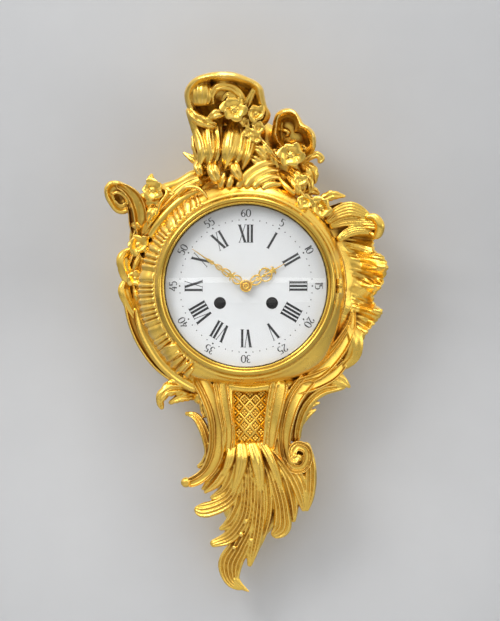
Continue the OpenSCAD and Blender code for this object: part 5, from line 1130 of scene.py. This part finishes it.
def garland_shape(leaves, stems, flowers):
    """Garland whose flowers stand on posts where they are clear of the case."""
    shape = Shape()
    sweeps(shape, leaves, leafy, 0.8, 15, lobes=5, cut=0.16)
    sweeps(shape, stems, crowned, 0.9, 11)
    for x, y, z, r, turn in flowers:
        flower(shape, x, y, z, r, turn, cup=0.42)
        shape.ball(x, y, z - r * 0.6, r * 0.75)
        base = case_front(x, y)
        if base < z - r:
            sweep(shape, [[x, y - 0.5, base - 4, 4, 4], [x, y + 0.5, z - r * 0.5, 5, 5]], crowned, 1.2)
    return shape


# Dial: its numerals
HOURS = ["I", "II", "III", "IIII", "V", "VI", "VII", "VIII", "IX", "X", "XI", "XII"]
# Strokes of a numeral in a box one high: [from x, from y, to x, to y, width]; then its advance
ROMAN = {
    "I": ([[1.8, 0, 1.8, 1, 2.3]], 3.65),
    "V": ([[1.2, 1, 3.9, 0, 2.4], [6.6, 1, 4.1, 0, 0.65]], 7.6),
    "X": ([[1.2, 1, 6.8, 0, 2.4], [6.8, 1, 1.2, 0, 0.65]], 8.0),
}
# Pen paths of the minute figures in a box one high
FIGURES = {
    "0": [[(0.3, 1), (0.06, 0.82), (0, 0.5), (0.06, 0.18), (0.3, 0), (0.54, 0.18), (0.6, 0.5), (0.54, 0.82), (0.3, 1)]],
    "1": [[(0.06, 0.84), (0.2, 0.98), (0.2, 0.5), (0.2, 0)]],
    "2": [[(0.04, 0.74), (0.1, 0.93), (0.3, 1), (0.5, 0.9), (0.52, 0.68), (0.3, 0.36), (0.02, 0.04)],
          [(0.02, 0.04), (0.2, 0.08), (0.4, 0.02), (0.56, 0.14)]],
    "3": [[(0.06, 0.86), (0.26, 1), (0.48, 0.88), (0.46, 0.66), (0.22, 0.55)],
          [(0.22, 0.55), (0.5, 0.46), (0.54, 0.2), (0.3, 0), (0.04, 0.1)]],
    "4": [[(0.42, 1), (0.24, 0.66), (0, 0.3), (0.3, 0.3), (0.6, 0.3)], [(0.44, 0.62), (0.44, 0.3), (0.44, 0)]],
    "5": [[(0.54, 1), (0.32, 0.96), (0.12, 0.98), (0.09, 0.56)],
          [(0.09, 0.56), (0.34, 0.62), (0.54, 0.42), (0.48, 0.12), (0.26, 0), (0.03, 0.1)]],
    "6": [[(0.5, 0.94), (0.26, 0.88), (0.06, 0.56), (0.04, 0.24), (0.28, 0), (0.54, 0.16), (0.52, 0.42),
           (0.3, 0.56), (0.08, 0.36)]],
}
# Height and width of those figures, and the radius of their feet
FIGURE_TALL, FIGURE_WIDE, FIGURE_FOOT = 7.6, 6.6, 69.0


def figure_advance(c):
    """Width that a minute figure takes up."""
    return (0.42 if c == "1" else 0.78) * FIGURE_WIDE


def ink_stroke(shape, path, widths, hour):
    """A thin flat stroke on the dial; path is (across, out) with its foot towards the centre."""
    p = np.asarray(path, float)
    ahead = np.gradient(p, axis=0)
    ahead /= np.linalg.norm(ahead, axis=1)[:, None]
    side = np.stack([ahead[:, 1], -ahead[:, 0]], -1) * np.asarray(widths)[:, None] / 2
    a = math.radians(hour * 30)
    turned = np.array([[math.cos(a), -math.sin(a)], [math.sin(a), math.cos(a)]])
    low, high = FACE + 0.01, FACE + 0.09
    rings = []
    for left, right in zip((p - side) @ turned, (p + side) @ turned):
        rings.append([[*left, low], [*right, low], [*right, high], [*left, high]])
    shape.rings(rings)


def numerals():
    """Hour numerals, then the minute figures outside them."""
    shape = Shape()
    foot, head = sizes().numeral_in * 1000, sizes().numeral_out * 1000
    for hour, word in enumerate(HOURS, 1):
        x = -sum(ROMAN[c][1] for c in word) / 2
        for c in word:
            strokes, advance = ROMAN[c]
            for x0, y0, x1, y1, w in strokes:
                ends = [(x + x0, foot + y0 * (head - foot)), (x + x1, foot + y1 * (head - foot))]
                ink_stroke(shape, ends, [w, w], hour)
                for ex, ey in ends:
                    # Serifs, but none at the point of a V
                    if c != "V" or ey > foot + 1:
                        ink_stroke(shape, [(ex - w * 0.5 - 0.6, ey), (ex + w * 0.5 + 0.6, ey)], [0.5, 0.5], hour)
            x += advance
    for hour in range(1, 13):
        word = str(hour * 5)
        x = -sum(figure_advance(c) for c in word) / 2 + 0.5
        for c in word:
            for path in FIGURES[c]:
                pen = [[px * FIGURE_WIDE + x, py * FIGURE_TALL + FIGURE_FOOT, 0] for px, py in path]
                p = spline(pen, 0.3)[1][:, :2]
                d = np.gradient(p, axis=0)
                upright = np.abs(d[:, 1]) / np.linalg.norm(d, axis=1)
                ink_stroke(shape, p, 0.5 + 0.75 * upright**2, hour)
            x += figure_advance(c)
    return shape


def nodes_piece(name, tree, values, material, body, slot, *replaced):
    """Runs a Geometry Nodes tree on an empty mesh and keeps the result as a plain piece."""
    obj = placed(name, bpy.data.meshes.new(name))
    made = obj.modifiers.new("make", "NODES")
    made.node_group = tree
    for item in tree.interface.items_tree:
        if item.item_type == "SOCKET" and item.in_out == "INPUT":
            made[item.identifier] = values[item.name]
    data = plain_mesh(obj)
    bpy.data.objects.remove(obj)
    return new_piece(name, data, material, body, slot, *replaced)


def geometry_tree(name, sockets):
    """A tree whose inputs are numbers, given with their defaults."""
    tree = bpy.data.node_groups.new(name, "GeometryNodeTree")
    for label, value in sockets.items():
        tree.interface.new_socket(label, in_out="INPUT", socket_type="NodeSocketFloat").default_value = value
    tree.interface.new_socket("Geometry", in_out="OUTPUT", socket_type="NodeSocketGeometry")
    return tree, tree.nodes.new("NodeGroupInput").outputs, tree.nodes.new("NodeGroupOutput")


def end_tree(tree, made, front, x, z, material, out):
    """Stands a flat field up to face the viewer, as real geometry with its material."""
    place = node(tree, "ShaderNodeCombineXYZ", {
        0: CENTRE_X + x / 1000, 1: maths(tree, "MULTIPLY", front, -1.0), 2: CENTRE_Z + z / 1000})
    stood = node(tree, "GeometryNodeTransform", {
        "Geometry": made, "Translation": place.outputs[0], "Rotation": (math.pi / 2, 0, 0)})
    real = node(tree, "GeometryNodeRealizeInstances", {"Geometry": stood.outputs[0]})
    dressed = node(tree, "GeometryNodeSetMaterial", {"Geometry": real.outputs[0], "Material": material})
    feed(tree, out, {"Geometry": dressed.outputs[0]})


def dot_tree(material):
    """Sixty round dots on a ring that faces the viewer, every fifth one larger."""
    tree, given, out = geometry_tree("Minute Dots", {"Ring": 0.066, "Dot": 0.0005, "Front": 0.09})
    ring = node(tree, "GeometryNodeMeshCircle", {"Vertices": 60, "Radius": given["Ring"]})
    dot = node(tree, "GeometryNodeMeshCylinder", {"Vertices": 16, "Radius": given["Dot"], "Depth": 0.00008})
    fifth = maths(tree, "MODULO", node(tree, "GeometryNodeInputIndex").outputs[0], 5.0)
    spots = node(tree, "GeometryNodeInstanceOnPoints", {
        "Points": ring.outputs["Mesh"], "Instance": dot.outputs["Mesh"],
        "Scale": spread(tree, fifth, 0.0, 1.0, 1.5, 1.0)})
    end_tree(tree, spots.outputs[0], given["Front"], 0, 0, material, out)
    return tree


# Hands: half of the scrollwork of each, as [across, along, half width]; lengths are shares of the hand
HOUR_SCROLLS = [
    [(0.6, 0.12, 0.8), (3.2, 0.17, 0.85), (4.4, 0.26, 0.85), (3.0, 0.35, 0.8), (0.7, 0.38, 0.7)],
    [(0.4, 0.36, 0.8), (4.2, 0.39, 0.85), (6.4, 0.47, 0.85), (5.4, 0.56, 0.8), (2.4, 0.56, 0.7), (2.6, 0.5, 0.5)],
    [(0.4, 0.64, 1.0), (3.4, 0.61, 1.0), (7.2, 0.55, 0.35)],
    [(0.4, 0.7, 0.9), (2.6, 0.72, 0.8), (4.6, 0.68, 0.3)],
    [(0.3, 0.26, 0.6), (1.6, 0.3, 0.6), (0.5, 0.35, 0.5)],
]
MINUTE_SCROLLS = [
    [(0.6, 0.09, 0.8), (3.0, 0.12, 0.85), (4.0, 0.17, 0.8), (2.8, 0.22, 0.8), (0.6, 0.24, 0.7)],
    [(0.4, 0.26, 1.0), (2.8, 0.265, 0.9), (5.4, 0.24, 0.35)],
    [(0.4, 0.29, 0.8), (2.6, 0.32, 0.75), (2.9, 0.38, 0.7), (1.4, 0.43, 0.6), (0.5, 0.4, 0.5)],
    [(0.3, 0.44, 0.6), (1.9, 0.48, 0.65), (1.5, 0.54, 0.6), (0.4, 0.57, 0.5)],
    [(0.3, 0.6, 0.6), (1.5, 0.63, 0.55), (0.4, 0.67, 0.5)],
]


def hand_shape(length, degrees, back, hole, scrolls, leaves):
    """A hand from its stem, both halves of its scrolls, leaves [share along, half width] and its hub."""
    a = math.radians(degrees)

    def place(points, half_thick):
        return [[x * math.cos(a) + y * math.sin(a), y * math.cos(a) - x * math.sin(a), back + 0.6, w, half_thick]
                for x, y, w in points]
    shape = Shape()
    stem = [(0, 4.6, 1.1), (0, length * 0.3, 0.8), (0, length * 0.55, 0.7), (0, length * 0.72, 0.75),
            (0, length * 0.9, 0.45), (0, length, 0.3)]
    sweep(shape, place(stem, 0.55), crowned, 0.7, 9)
    for scroll in scrolls:
        for side in (-1, 1):
            sweep(shape, place([(x * side, y * length, w) for x, y, w in scroll], 0.5), crowned, 0.45, 9)
    for at, wide in leaves:
        leaf = [(0, length * (at - 0.06), 0.4), (0, length * at, wide), (0, length * (at + 0.09), 0.3)]
        sweep(shape, place(leaf, 0.55), leafy, 0.5, 9)
    lathe(shape, [[hole, back], [6, back], [6.1, back + 0.5], [5.4, back + 1.1], [hole, back + 1.2]], 64)
    return shape


# Bezel: width and height of its moulding, whose front is drawn in shares of them
BEZEL_WIDE, BEZEL_TALL = 10.4, 9.2
BEZEL_FRONT = [
    (0.93, 0.34), (0.915, 0.42), (0.9, 0.56), (0.84, 0.72), (0.75, 0.86), (0.64, 0.95), (0.52, 0.97), (0.42, 0.92),
    (0.36, 0.84), (0.335, 0.76), (0.3, 0.74), (0.26, 0.82), (0.2, 0.84), (0.14, 0.8), (0.11, 0.7), (0.06, 0.64)]
# Height at which the glass lies in it
GLASS_SEAT = BEZEL_BACK + 4


def bezel_shape():
    r, z, w, h = DIAL_R + 0.2, BEZEL_BACK, BEZEL_WIDE, BEZEL_TALL
    shape = Shape()
    lathe(shape, [
        (r + 1.95, z), (r + w - 0.3, z), (r + w, z + 0.4), (r + w, z + h * 0.2), (r + w - 0.35, z + h * 0.3),
        *((r + w * u, z + h * v) for u, v in BEZEL_FRONT),
        (r + 0.3, z + h * 0.62), (r, z + h * 0.58), (r, GLASS_SEAT + 0.05), (r + 1.95, GLASS_SEAT + 0.05)], 288)
    return shape


def hinge_leaf(shape):
    """Middle knuckle of the hinge with the leaf that joins it to the bezel."""
    low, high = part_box("hinge_pin")
    x, z = (low[0] + high[0]) * 500 - CENTRE_X * 1000, -(low[1] + high[1]) * 500
    long = (high[2] - low[2]) * 1000 / 6 - 0.2
    a = np.linspace(0, 2 * math.pi, 32, endpoint=False)
    shape.rings([np.stack([x + r * np.cos(a), 0 * a + y, z + r * np.sin(a)], -1)
                 for y, r in ((-long, 2.0), (-long + 0.3, 2.4), (long - 0.3, 2.4), (long, 2.0))])
    joint = 88.5
    shape.rings([[[u, y, BEZEL_BACK + v] for u, v in ((joint, 0.1), (x, 0.1), (x, 2.2), (joint, 2.4))]
                 for y in (-long, long)])


def glass_shape():
    """Dome of even thickness with a flat edge that sits in the bezel."""
    rise, thick = 10.5, 2.0
    ball = (DIAL_R**2 + rise**2) / (2 * rise)
    top = GLASS_SEAT + rise
    r = np.linspace(0.02, 1, 40) ** 0.8 * DIAL_R
    drop = ball - np.sqrt(ball**2 - r**2)
    outer = [[a, top - b] for a, b in zip(r, drop)]
    inner = [[a, top - thick - b] for a, b in zip(r, drop)]
    edge = [[DIAL_R + 1.9, GLASS_SEAT - 0.05], [DIAL_R + 1.9, GLASS_SEAT - thick]]
    a = np.linspace(0, 2 * math.pi, 144, endpoint=False)
    far, height = np.asarray(outer + edge + inner[::-1]).T
    shape = Shape()
    shape.rings(np.stack([np.outer(far, np.cos(a)), np.outer(far, np.sin(a)), np.outer(height, 1 + 0 * a)], -1))
    return shape


def collet_shape():
    """Turned cap that holds the hands, its middle closed by a flat ball."""
    base = FACE + 5.25
    shape = Shape()
    lathe(shape, [(1.65, base), (5.9, base), (6.2, base + 0.5), (5.9, base + 1.1), (5.2, base + 1.3), (4.7, base + 0.3),
                  (4.1, base + 0.3), (3.8, base + 1.7), (3.2, base + 2.6), (2.5, base + 3.0), (2.0, base + 2.9),
                  (1.65, base + 2.2)], 64)
    shape.ball(0, 0, base + 1.6, 1.75, 0.5)
    return shape


# Trellis in the neck: corners of its panel, middle of its lattice, number of bars each way and of rosettes
TRELLIS_EDGE = [(-13.5, -101), (22, -101), (18, -159.5), (-11, -159.5)]
TRELLIS_MID = (4.0, -128.0)
BARS, ROSETTES = 13, (7, 11)


def trellis_tree(material):
    """Lattice of crossing bars with a small rosette in every opening."""
    tree, given, out = geometry_tree("Trellis", {"Spacing": 0.0084, "Bar": 0.001, "Front": 0.064})
    spacing = given["Spacing"]
    joined = node(tree, "GeometryNodeJoinGeometry")
    tilt = math.radians(49)
    for turn in (tilt, -tilt):
        start = node(tree, "ShaderNodeCombineXYZ", {1: maths(tree, "MULTIPLY", spacing, (1 - BARS) / 2)})
        step = node(tree, "ShaderNodeCombineXYZ", {1: spacing})
        row = node(tree, "GeometryNodeMeshLine", {
            "Count": BARS, "Start Location": start.outputs[0], "Offset": step.outputs[0]}, mode="OFFSET")
        bar = node(tree, "GeometryNodeMeshCylinder", {"Vertices": 12, "Radius": given["Bar"], "Depth": 0.11})
        lain = node(tree, "GeometryNodeTransform", {"Geometry": bar.outputs["Mesh"], "Rotation": (0, math.pi / 2, 0)})
        bars = node(tree, "GeometryNodeInstanceOnPoints", {"Points": row.outputs[0], "Instance": lain.outputs[0]})
        turned = node(tree, "GeometryNodeTransform", {"Geometry": bars.outputs[0], "Rotation": (0, 0, turn)})
        feed(tree, joined, {0: turned.outputs[0]})
    # A rosette is four petals and an eye, set in the middle of every opening
    petal_ball = node(tree, "GeometryNodeMeshIcoSphere", {"Radius": 0.0016, "Subdivisions": 2})
    cross = node(tree, "GeometryNodeMeshCircle", {"Vertices": 4, "Radius": 0.0018})
    petals = node(tree, "GeometryNodeInstanceOnPoints", {
        "Points": cross.outputs["Mesh"], "Instance": petal_ball.outputs["Mesh"], "Scale": (1.0, 1.0, 1.1)})
    eye = node(tree, "GeometryNodeMeshIcoSphere", {"Radius": 0.0009, "Subdivisions": 2})
    rosette = node(tree, "GeometryNodeJoinGeometry", {0: petals.outputs[0]})
    feed(tree, rosette, {0: eye.outputs["Mesh"]})
    wide = maths(tree, "DIVIDE", spacing, math.sin(tilt))
    tall = maths(tree, "DIVIDE", spacing, math.cos(tilt))
    for shift in (0.0, 0.5):
        field = node(tree, "GeometryNodeMeshGrid", {
            "Vertices X": ROSETTES[0], "Size X": maths(tree, "MULTIPLY", wide, ROSETTES[0] - 1.0),
            "Vertices Y": ROSETTES[1], "Size Y": maths(tree, "MULTIPLY", tall, ROSETTES[1] - 1.0)})
        move = node(tree, "ShaderNodeCombineXYZ", {
            0: maths(tree, "MULTIPLY", wide, shift + 0.5), 1: maths(tree, "MULTIPLY", tall, shift)})
        spots = node(tree, "GeometryNodeInstanceOnPoints", {
            "Points": field.outputs["Mesh"], "Instance": rosette.outputs[0]})
        moved = node(tree, "GeometryNodeTransform", {"Geometry": spots.outputs[0], "Translation": move.outputs[0]})
        feed(tree, joined, {0: moved.outputs[0]})
    end_tree(tree, joined.outputs[0], given["Front"], *TRELLIS_MID, material, out)
    return tree


def trimmed(data, corners):
    """Cuts a mesh along the sides of an upright field of (x, y) corners, its cut ends closed."""
    mesh = bmesh.new()
    mesh.from_mesh(data)
    edge = to_row([[x, y, 0] for x, y in corners])
    for a, b in zip(edge, np.roll(edge, -1, 0)):
        outward = np.array([a[2] - b[2], 0, b[0] - a[0]])
        every = mesh.verts[:] + mesh.edges[:] + mesh.faces[:]
        bmesh.ops.bisect_plane(mesh, geom=every, plane_co=a, plane_no=outward, clear_outer=True)
        bmesh.ops.holes_fill(mesh, edges=[e for e in mesh.edges if e.is_boundary])
    mesh.to_mesh(data)
    mesh.free()


def trellis_plate():
    """Plate behind the lattice, its ground finely dished."""
    low, high = (-z * 1000 for z in (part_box("trellis_panel")[1][1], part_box("trellis_panel")[0][1]))
    top, bottom = TRELLIS_EDGE[:2], TRELLIS_EDGE[:1:-1]
    u = np.linspace(0, 1, 40)
    rings = []
    for v in np.linspace(0, 1, 60):
        left, right = (np.array(a) * (1 - v) + np.array(b) * v for a, b in zip(top, bottom))
        across = left[None] * (1 - u[:, None]) + right[None] * u[:, None]
        dish = 0.18 * np.sin(1.9 * across[:, 0]) * np.sin(1.9 * across[:, 1])
        front = np.column_stack([across, high - 3.0 + dish])
        back = np.column_stack([across[::-1], 0 * u + low])
        rings.append(np.vstack([front, back]))
    shape = Shape()
    shape.rings(rings)
    return shape


# Operators
class PieceOperator:
    bl_options = {"REGISTER"}


class CLOCK_OT_dial(PieceOperator, bpy.types.Operator):
    """Enamel dial with its hour numerals, minute figures and dots"""
    bl_idname = "clock.dial"
    bl_label = "Dial"

    def execute(self, context):
        data = solid("dial_figures", numerals(), black_ink(), "case", "enamel").data
        data.polygons.foreach_set("use_smooth", np.zeros(len(data.polygons), bool))
        values = {"Ring": sizes().dot_ring, "Dot": 0.00056, "Front": (FACE + 0.05) / 1000}
        nodes_piece("minute_dots", dot_tree(black_ink()), values, black_ink(), "case", "enamel")
        return {"FINISHED"}


class CLOCK_OT_hands(PieceOperator, bpy.types.Operator):
    """Pierced gilt hands and the collet that holds them"""
    bl_idname = "clock.hands"
    bl_label = "Hands"

    def execute(self, context):
        hour = hand_shape(length=45, degrees=60, back=FACE + 1.4, hole=4.05, scrolls=HOUR_SCROLLS,
                          leaves=[(0.45, 1.5), (0.68, 2.6)])
        solid("hour_hand_scrolls", hour, bright_gilt(), "hour_set", "gilt", "hour_hand")
        minute = hand_shape(length=65, degrees=304.5, back=FACE + 4, hole=3.0, scrolls=MINUTE_SCROLLS,
                            leaves=[(0.27, 2.2), (0.68, 1.5)])
        solid("minute_hand_scrolls", minute, bright_gilt(), "minute_set", "gilt", "minute_hand")
        solid("collet_dome", collet_shape(), bright_gilt(), "minute_set", "gilt", "hand_collet")
        return {"FINISHED"}


class CLOCK_OT_bezel(PieceOperator, bpy.types.Operator):
    """Moulded bezel with its hinge knuckle and domed glass"""
    bl_idname = "clock.bezel"
    bl_label = "Bezel and glass"

    def execute(self, context):
        shape = bezel_shape()
        hinge_leaf(shape)
        solid("bezel_moulding", shape, bezel_gilt(), "bezel", "gilt", "glass_bezel")
        solid("glass_dome", glass_shape(), clear_glass(), "bezel", "glass", "dome_glass")
        return {"FINISHED"}


class CLOCK_OT_case(PieceOperator, bpy.types.Operator):
    """Hollow case ring with its ribs, the wing and the shoulder scroll cast with it"""
    bl_idname = "clock.case"
    bl_label = "Case"

    def execute(self, context):
        cast("case_ring", case_shell(), "case_body", joined=False)
        wing = wing_leaf()
        sweeps(wing, WING_LEAVES, reeded(5), 0.9, 31)
        sweep(wing, WING_ROLL, crowned, 0.9)
        sweep(wing, WING_FOLD, folded, 0.9, 25)
        sweeps(wing, [WING_FOOT, WING_HEM], moulded, 0.9, 33)
        cast("wing_ruffle", wing, grain=0.8)
        cast("shoulder_scroll", left_scroll())
        return {"FINISHED"}


class CLOCK_OT_neck(PieceOperator, bpy.types.Operator):
    """Neck with its reeded scrolls, and the feathered tail"""
    bl_idname = "clock.neck"
    bl_label = "Neck and tail"

    def execute(self, context):
        cast("neck_scrolls", neck_shape(), "neck_casting")
        cast("tail_feathers", tail_shape())
        return {"FINISHED"}


class CLOCK_OT_crest(PieceOperator, bpy.types.Operator):
    """Crest with two hoods, leaves and blossoms"""
    bl_idname = "clock.crest"
    bl_label = "Crest"

    def execute(self, context):
        cast("crest_hoods", crest_shape(), "crest_scroll", grain=0.9)
        return {"FINISHED"}


class CLOCK_OT_garlands(PieceOperator, bpy.types.Operator):
    """Flower garlands at both sides"""
    bl_idname = "clock.garlands"
    bl_label = "Garlands"

    def execute(self, context):
        cast("right_flowers", garland_shape(RIGHT_LEAVES, RIGHT_STEMS, RIGHT_FLOWERS), "right_garland", grain=0.8)
        cast("left_flowers", garland_shape(LEFT_GARLAND_LEAVES, LEFT_STEMS, LEFT_FLOWERS), "left_garland", grain=0.8)
        return {"FINISHED"}


class CLOCK_OT_trellis(PieceOperator, bpy.types.Operator):
    """Trellis panel in the neck"""
    bl_idname = "clock.trellis"
    bl_label = "Trellis"

    def execute(self, context):
        front = -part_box("trellis_panel")[0][1]
        values = {"Spacing": sizes().lattice, "Bar": 0.0015, "Front": front - 0.0015}
        bars = nodes_piece("trellis_bars", trellis_tree(gilt_metal()), values, gilt_metal(), "case", "gilt")
        trimmed(bars.data, TRELLIS_EDGE)
        solid("trellis_ground", trellis_plate(), gilt_metal(), "case", "gilt", "trellis_panel")
        return {"FINISHED"}


# Nodes of steel; the others are brass unless they have a finish of their own
STEEL = {"plate_screws", "ring_screws", "hinge_pin", "minute_stud", "cannon_pinion", "cock_screws", "bell_stand",
         "bell_nut", "hammer", "pallet_anchor", "suspension_spring", "pendulum_rod", "going_click", "strike_click",
         "pillar_nuts"}


class CLOCK_OT_movement(PieceOperator, bpy.types.Operator):
    """Finishes of the movement and of the fittings that keep their own solids"""
    bl_idname = "clock.movement"
    bl_label = "Movement finishes"

    def execute(self, context):
        special = {"enamel_dial": enamel_glaze, "bell": bell_metal, "dial_ring": bright_gilt,
                   "going_winder": shade_black_steel, "strike_winder": shade_black_steel}
        for name, obj in NODES.items():
            made = special.get(name, steel_metal if name in STEEL else brass_metal)()
            obj.data.materials.clear()
            obj.data.materials.append(made)
        return {"FINISHED"}


# Stage in metres: how far the floor is below the clock and the wall behind it, and how far they reach
FLOOR_DROP, FLOOR_REACH = 0.12, 4
WALL_GAP, WALL_REACH = 0.004, 2
# Lamps as (place, size, power)
LAMPS = {
    "key": ((-1.1, -1.25, 1.1), 0.8, 16), "fill": ((1.8, -1.1, 0.0), 0.8, 3.5),
    "top": ((0.1, -0.5, 1.1), 0.6, 6), "bounce": ((0.0, -0.6, -0.08), 0.8, 2.2)}
# Distance of the camera from the dial, the height of the frame there and of the sensor in mm
CAMERA_FAR, FRAME_TALL, SENSOR_TALL = 2.2, 0.621, 24.0


def pale(name, scale, swing):
    """Matt material of the ground colour, which varies softly by the swing."""
    made, tree, bsdf = new_material(name)
    tone = finish().ground
    soft = spread(tree, noise(tree, object_place(tree), scale), 0.3, 0.7, tone * (1 - swing), tone * (1 + swing))
    shade = node(tree, "ShaderNodeCombineColor", {0: soft, 1: soft, 2: soft})
    feed(tree, bsdf, {"Base Color": shade.outputs[0], "Roughness": 0.9})
    return made, tree, bsdf


def sheet(name, corners, material):
    """A flat four-cornered sheet."""
    data = bpy.data.meshes.new(name)
    data.from_pydata(corners, [], [(0, 1, 2, 3)])
    data.materials.append(material)
    return placed(name, data)


def point(obj, target):
    """Turns a lamp or the camera to its target."""
    obj.rotation_euler = (Vector(target) - obj.location).to_track_quat("-Z", "Y").to_euler()


def studio(scene):
    """World of soft light, seen as a pale ground that darkens downwards."""
    scene.world = bpy.data.worlds.new("studio")
    scene.world.use_nodes = True
    tree = scene.world.node_tree
    tree.nodes.clear()
    rays = node(tree, "ShaderNodeLightPath").outputs
    seen = maths(tree, "MAXIMUM", rays["Is Camera Ray"], rays["Is Glossy Ray"])
    seen = maths(tree, "MAXIMUM", seen, rays["Is Transmission Ray"])
    light = node(tree, "ShaderNodeBackground", {"Color": (0.9, 0.94, 1.0, 1), "Strength": 0.36})
    height = node(tree, "ShaderNodeSeparateXYZ", {0: node(tree, "ShaderNodeTexCoord").outputs["Generated"]})
    tone = finish().ground
    fall = spread(tree, height.outputs[2], -0.65, 0.5, tone * 0.38, tone * 1.5)
    shown = node(tree, "ShaderNodeBackground", {"Color": fall, "Strength": 1.0})
    blend = node(tree, "ShaderNodeMixShader", {0: seen, 1: light.outputs[0], 2: shown.outputs[0]})
    node(tree, "ShaderNodeOutputWorld", {"Surface": blend.outputs[0]})


class CLOCK_OT_stage(PieceOperator, bpy.types.Operator):
    """Pale wall and floor, soft lamps and the camera"""
    bl_idname = "clock.stage"
    bl_label = "Stage"

    def execute(self, context):
        scene = context.scene
        scene.view_settings.view_transform = "Standard"
        low, far = CAD_BOX[0][2] - FLOOR_DROP, FLOOR_REACH
        ground = pale("pale ground", 14.0, 0.03)[0]
        floor = sheet("floor", [(-far, -far, low), (far, -far, low), (far, far, low), (-far, far, low)], ground)
        # Only the front of the wall shows, and light reaches the back of the clock through it
        made, tree, bsdf = pale("pale wall", 9.0, 0.02)
        behind = node(tree, "ShaderNodeNewGeometry").outputs["Backfacing"]
        rays = node(tree, "ShaderNodeLightPath").outputs
        seen = maths(tree, "MAXIMUM", rays["Is Camera Ray"], rays["Is Transmission Ray"])
        see_through(tree, bsdf, maths(tree, "MAXIMUM", behind, maths(tree, "SUBTRACT", 1.0, seen)))
        back, far = CAD_BOX[1][1] + WALL_GAP, WALL_REACH
        wall = sheet("wall", [(-far, back, low), (far, back, low), (far, back, far), (-far, back, far)], made)
        studio(scene)
        aim = (CENTRE_X, -0.05, CENTRE_Z - 0.03)
        for name, (at, size, power) in LAMPS.items():
            lamp = bpy.data.lights.new(name, "AREA")
            lamp.size, lamp.energy = size, power
            obj = placed(name, lamp)
            obj.location = at
            # The bounce lamp lights the floor, which lights the tail
            point(obj, (at[0], at[1] - 0.01, low) if name == "bounce" else aim)
        lens = bpy.data.cameras.new("camera")
        lens.sensor_fit, lens.sensor_height = "VERTICAL", SENSOR_TALL
        lens.lens = SENSOR_TALL * CAMERA_FAR / FRAME_TALL
        lens.clip_end = 50
        centre = (CENTRE_X + 0.004, 0, CENTRE_Z - 0.0245)
        scene.camera = placed("camera", lens)
        scene.camera.location = (centre[0], -FACE / 1000 - CAMERA_FAR, centre[2])
        point(scene.camera, centre)
        return {"FINISHED"}


class CLOCK_PT_parts(bpy.types.Panel):
    bl_label = "Cartel Clock"
    bl_idname = "CLOCK_PT_parts"
    bl_space_type = "VIEW_3D"
    bl_region_type = "UI"
    bl_category = "Clock"

    def draw(self, context):
        for made in OPERATORS:
            self.layout.operator(made.bl_idname)
        for group_of in (context.scene.clock_sizes, context.scene.clock_finish):
            box = self.layout.box()
            for key in group_of.__annotations__:
                box.prop(group_of, key)


OPERATORS = [CLOCK_OT_movement, CLOCK_OT_dial, CLOCK_OT_hands, CLOCK_OT_bezel, CLOCK_OT_case, CLOCK_OT_neck,
             CLOCK_OT_crest, CLOCK_OT_garlands, CLOCK_OT_trellis, CLOCK_OT_stage]
CLASSES = [ClockSizes, ClockFinish] + OPERATORS + [CLOCK_PT_parts]


def register():
    for made in CLASSES:
        bpy.utils.register_class(made)
    bpy.types.Scene.clock_sizes = PointerProperty(type=ClockSizes)
    bpy.types.Scene.clock_finish = PointerProperty(type=ClockFinish)


def unregister():
    del bpy.types.Scene.clock_finish
    del bpy.types.Scene.clock_sizes
    for made in reversed(CLASSES):
        bpy.utils.unregister_class(made)


def main():
    register()
    for made in OPERATORS:
        area, name = made.bl_idname.split(".")
        getattr(getattr(bpy.ops, area), name)()


if __name__ == "__main__":
    main()
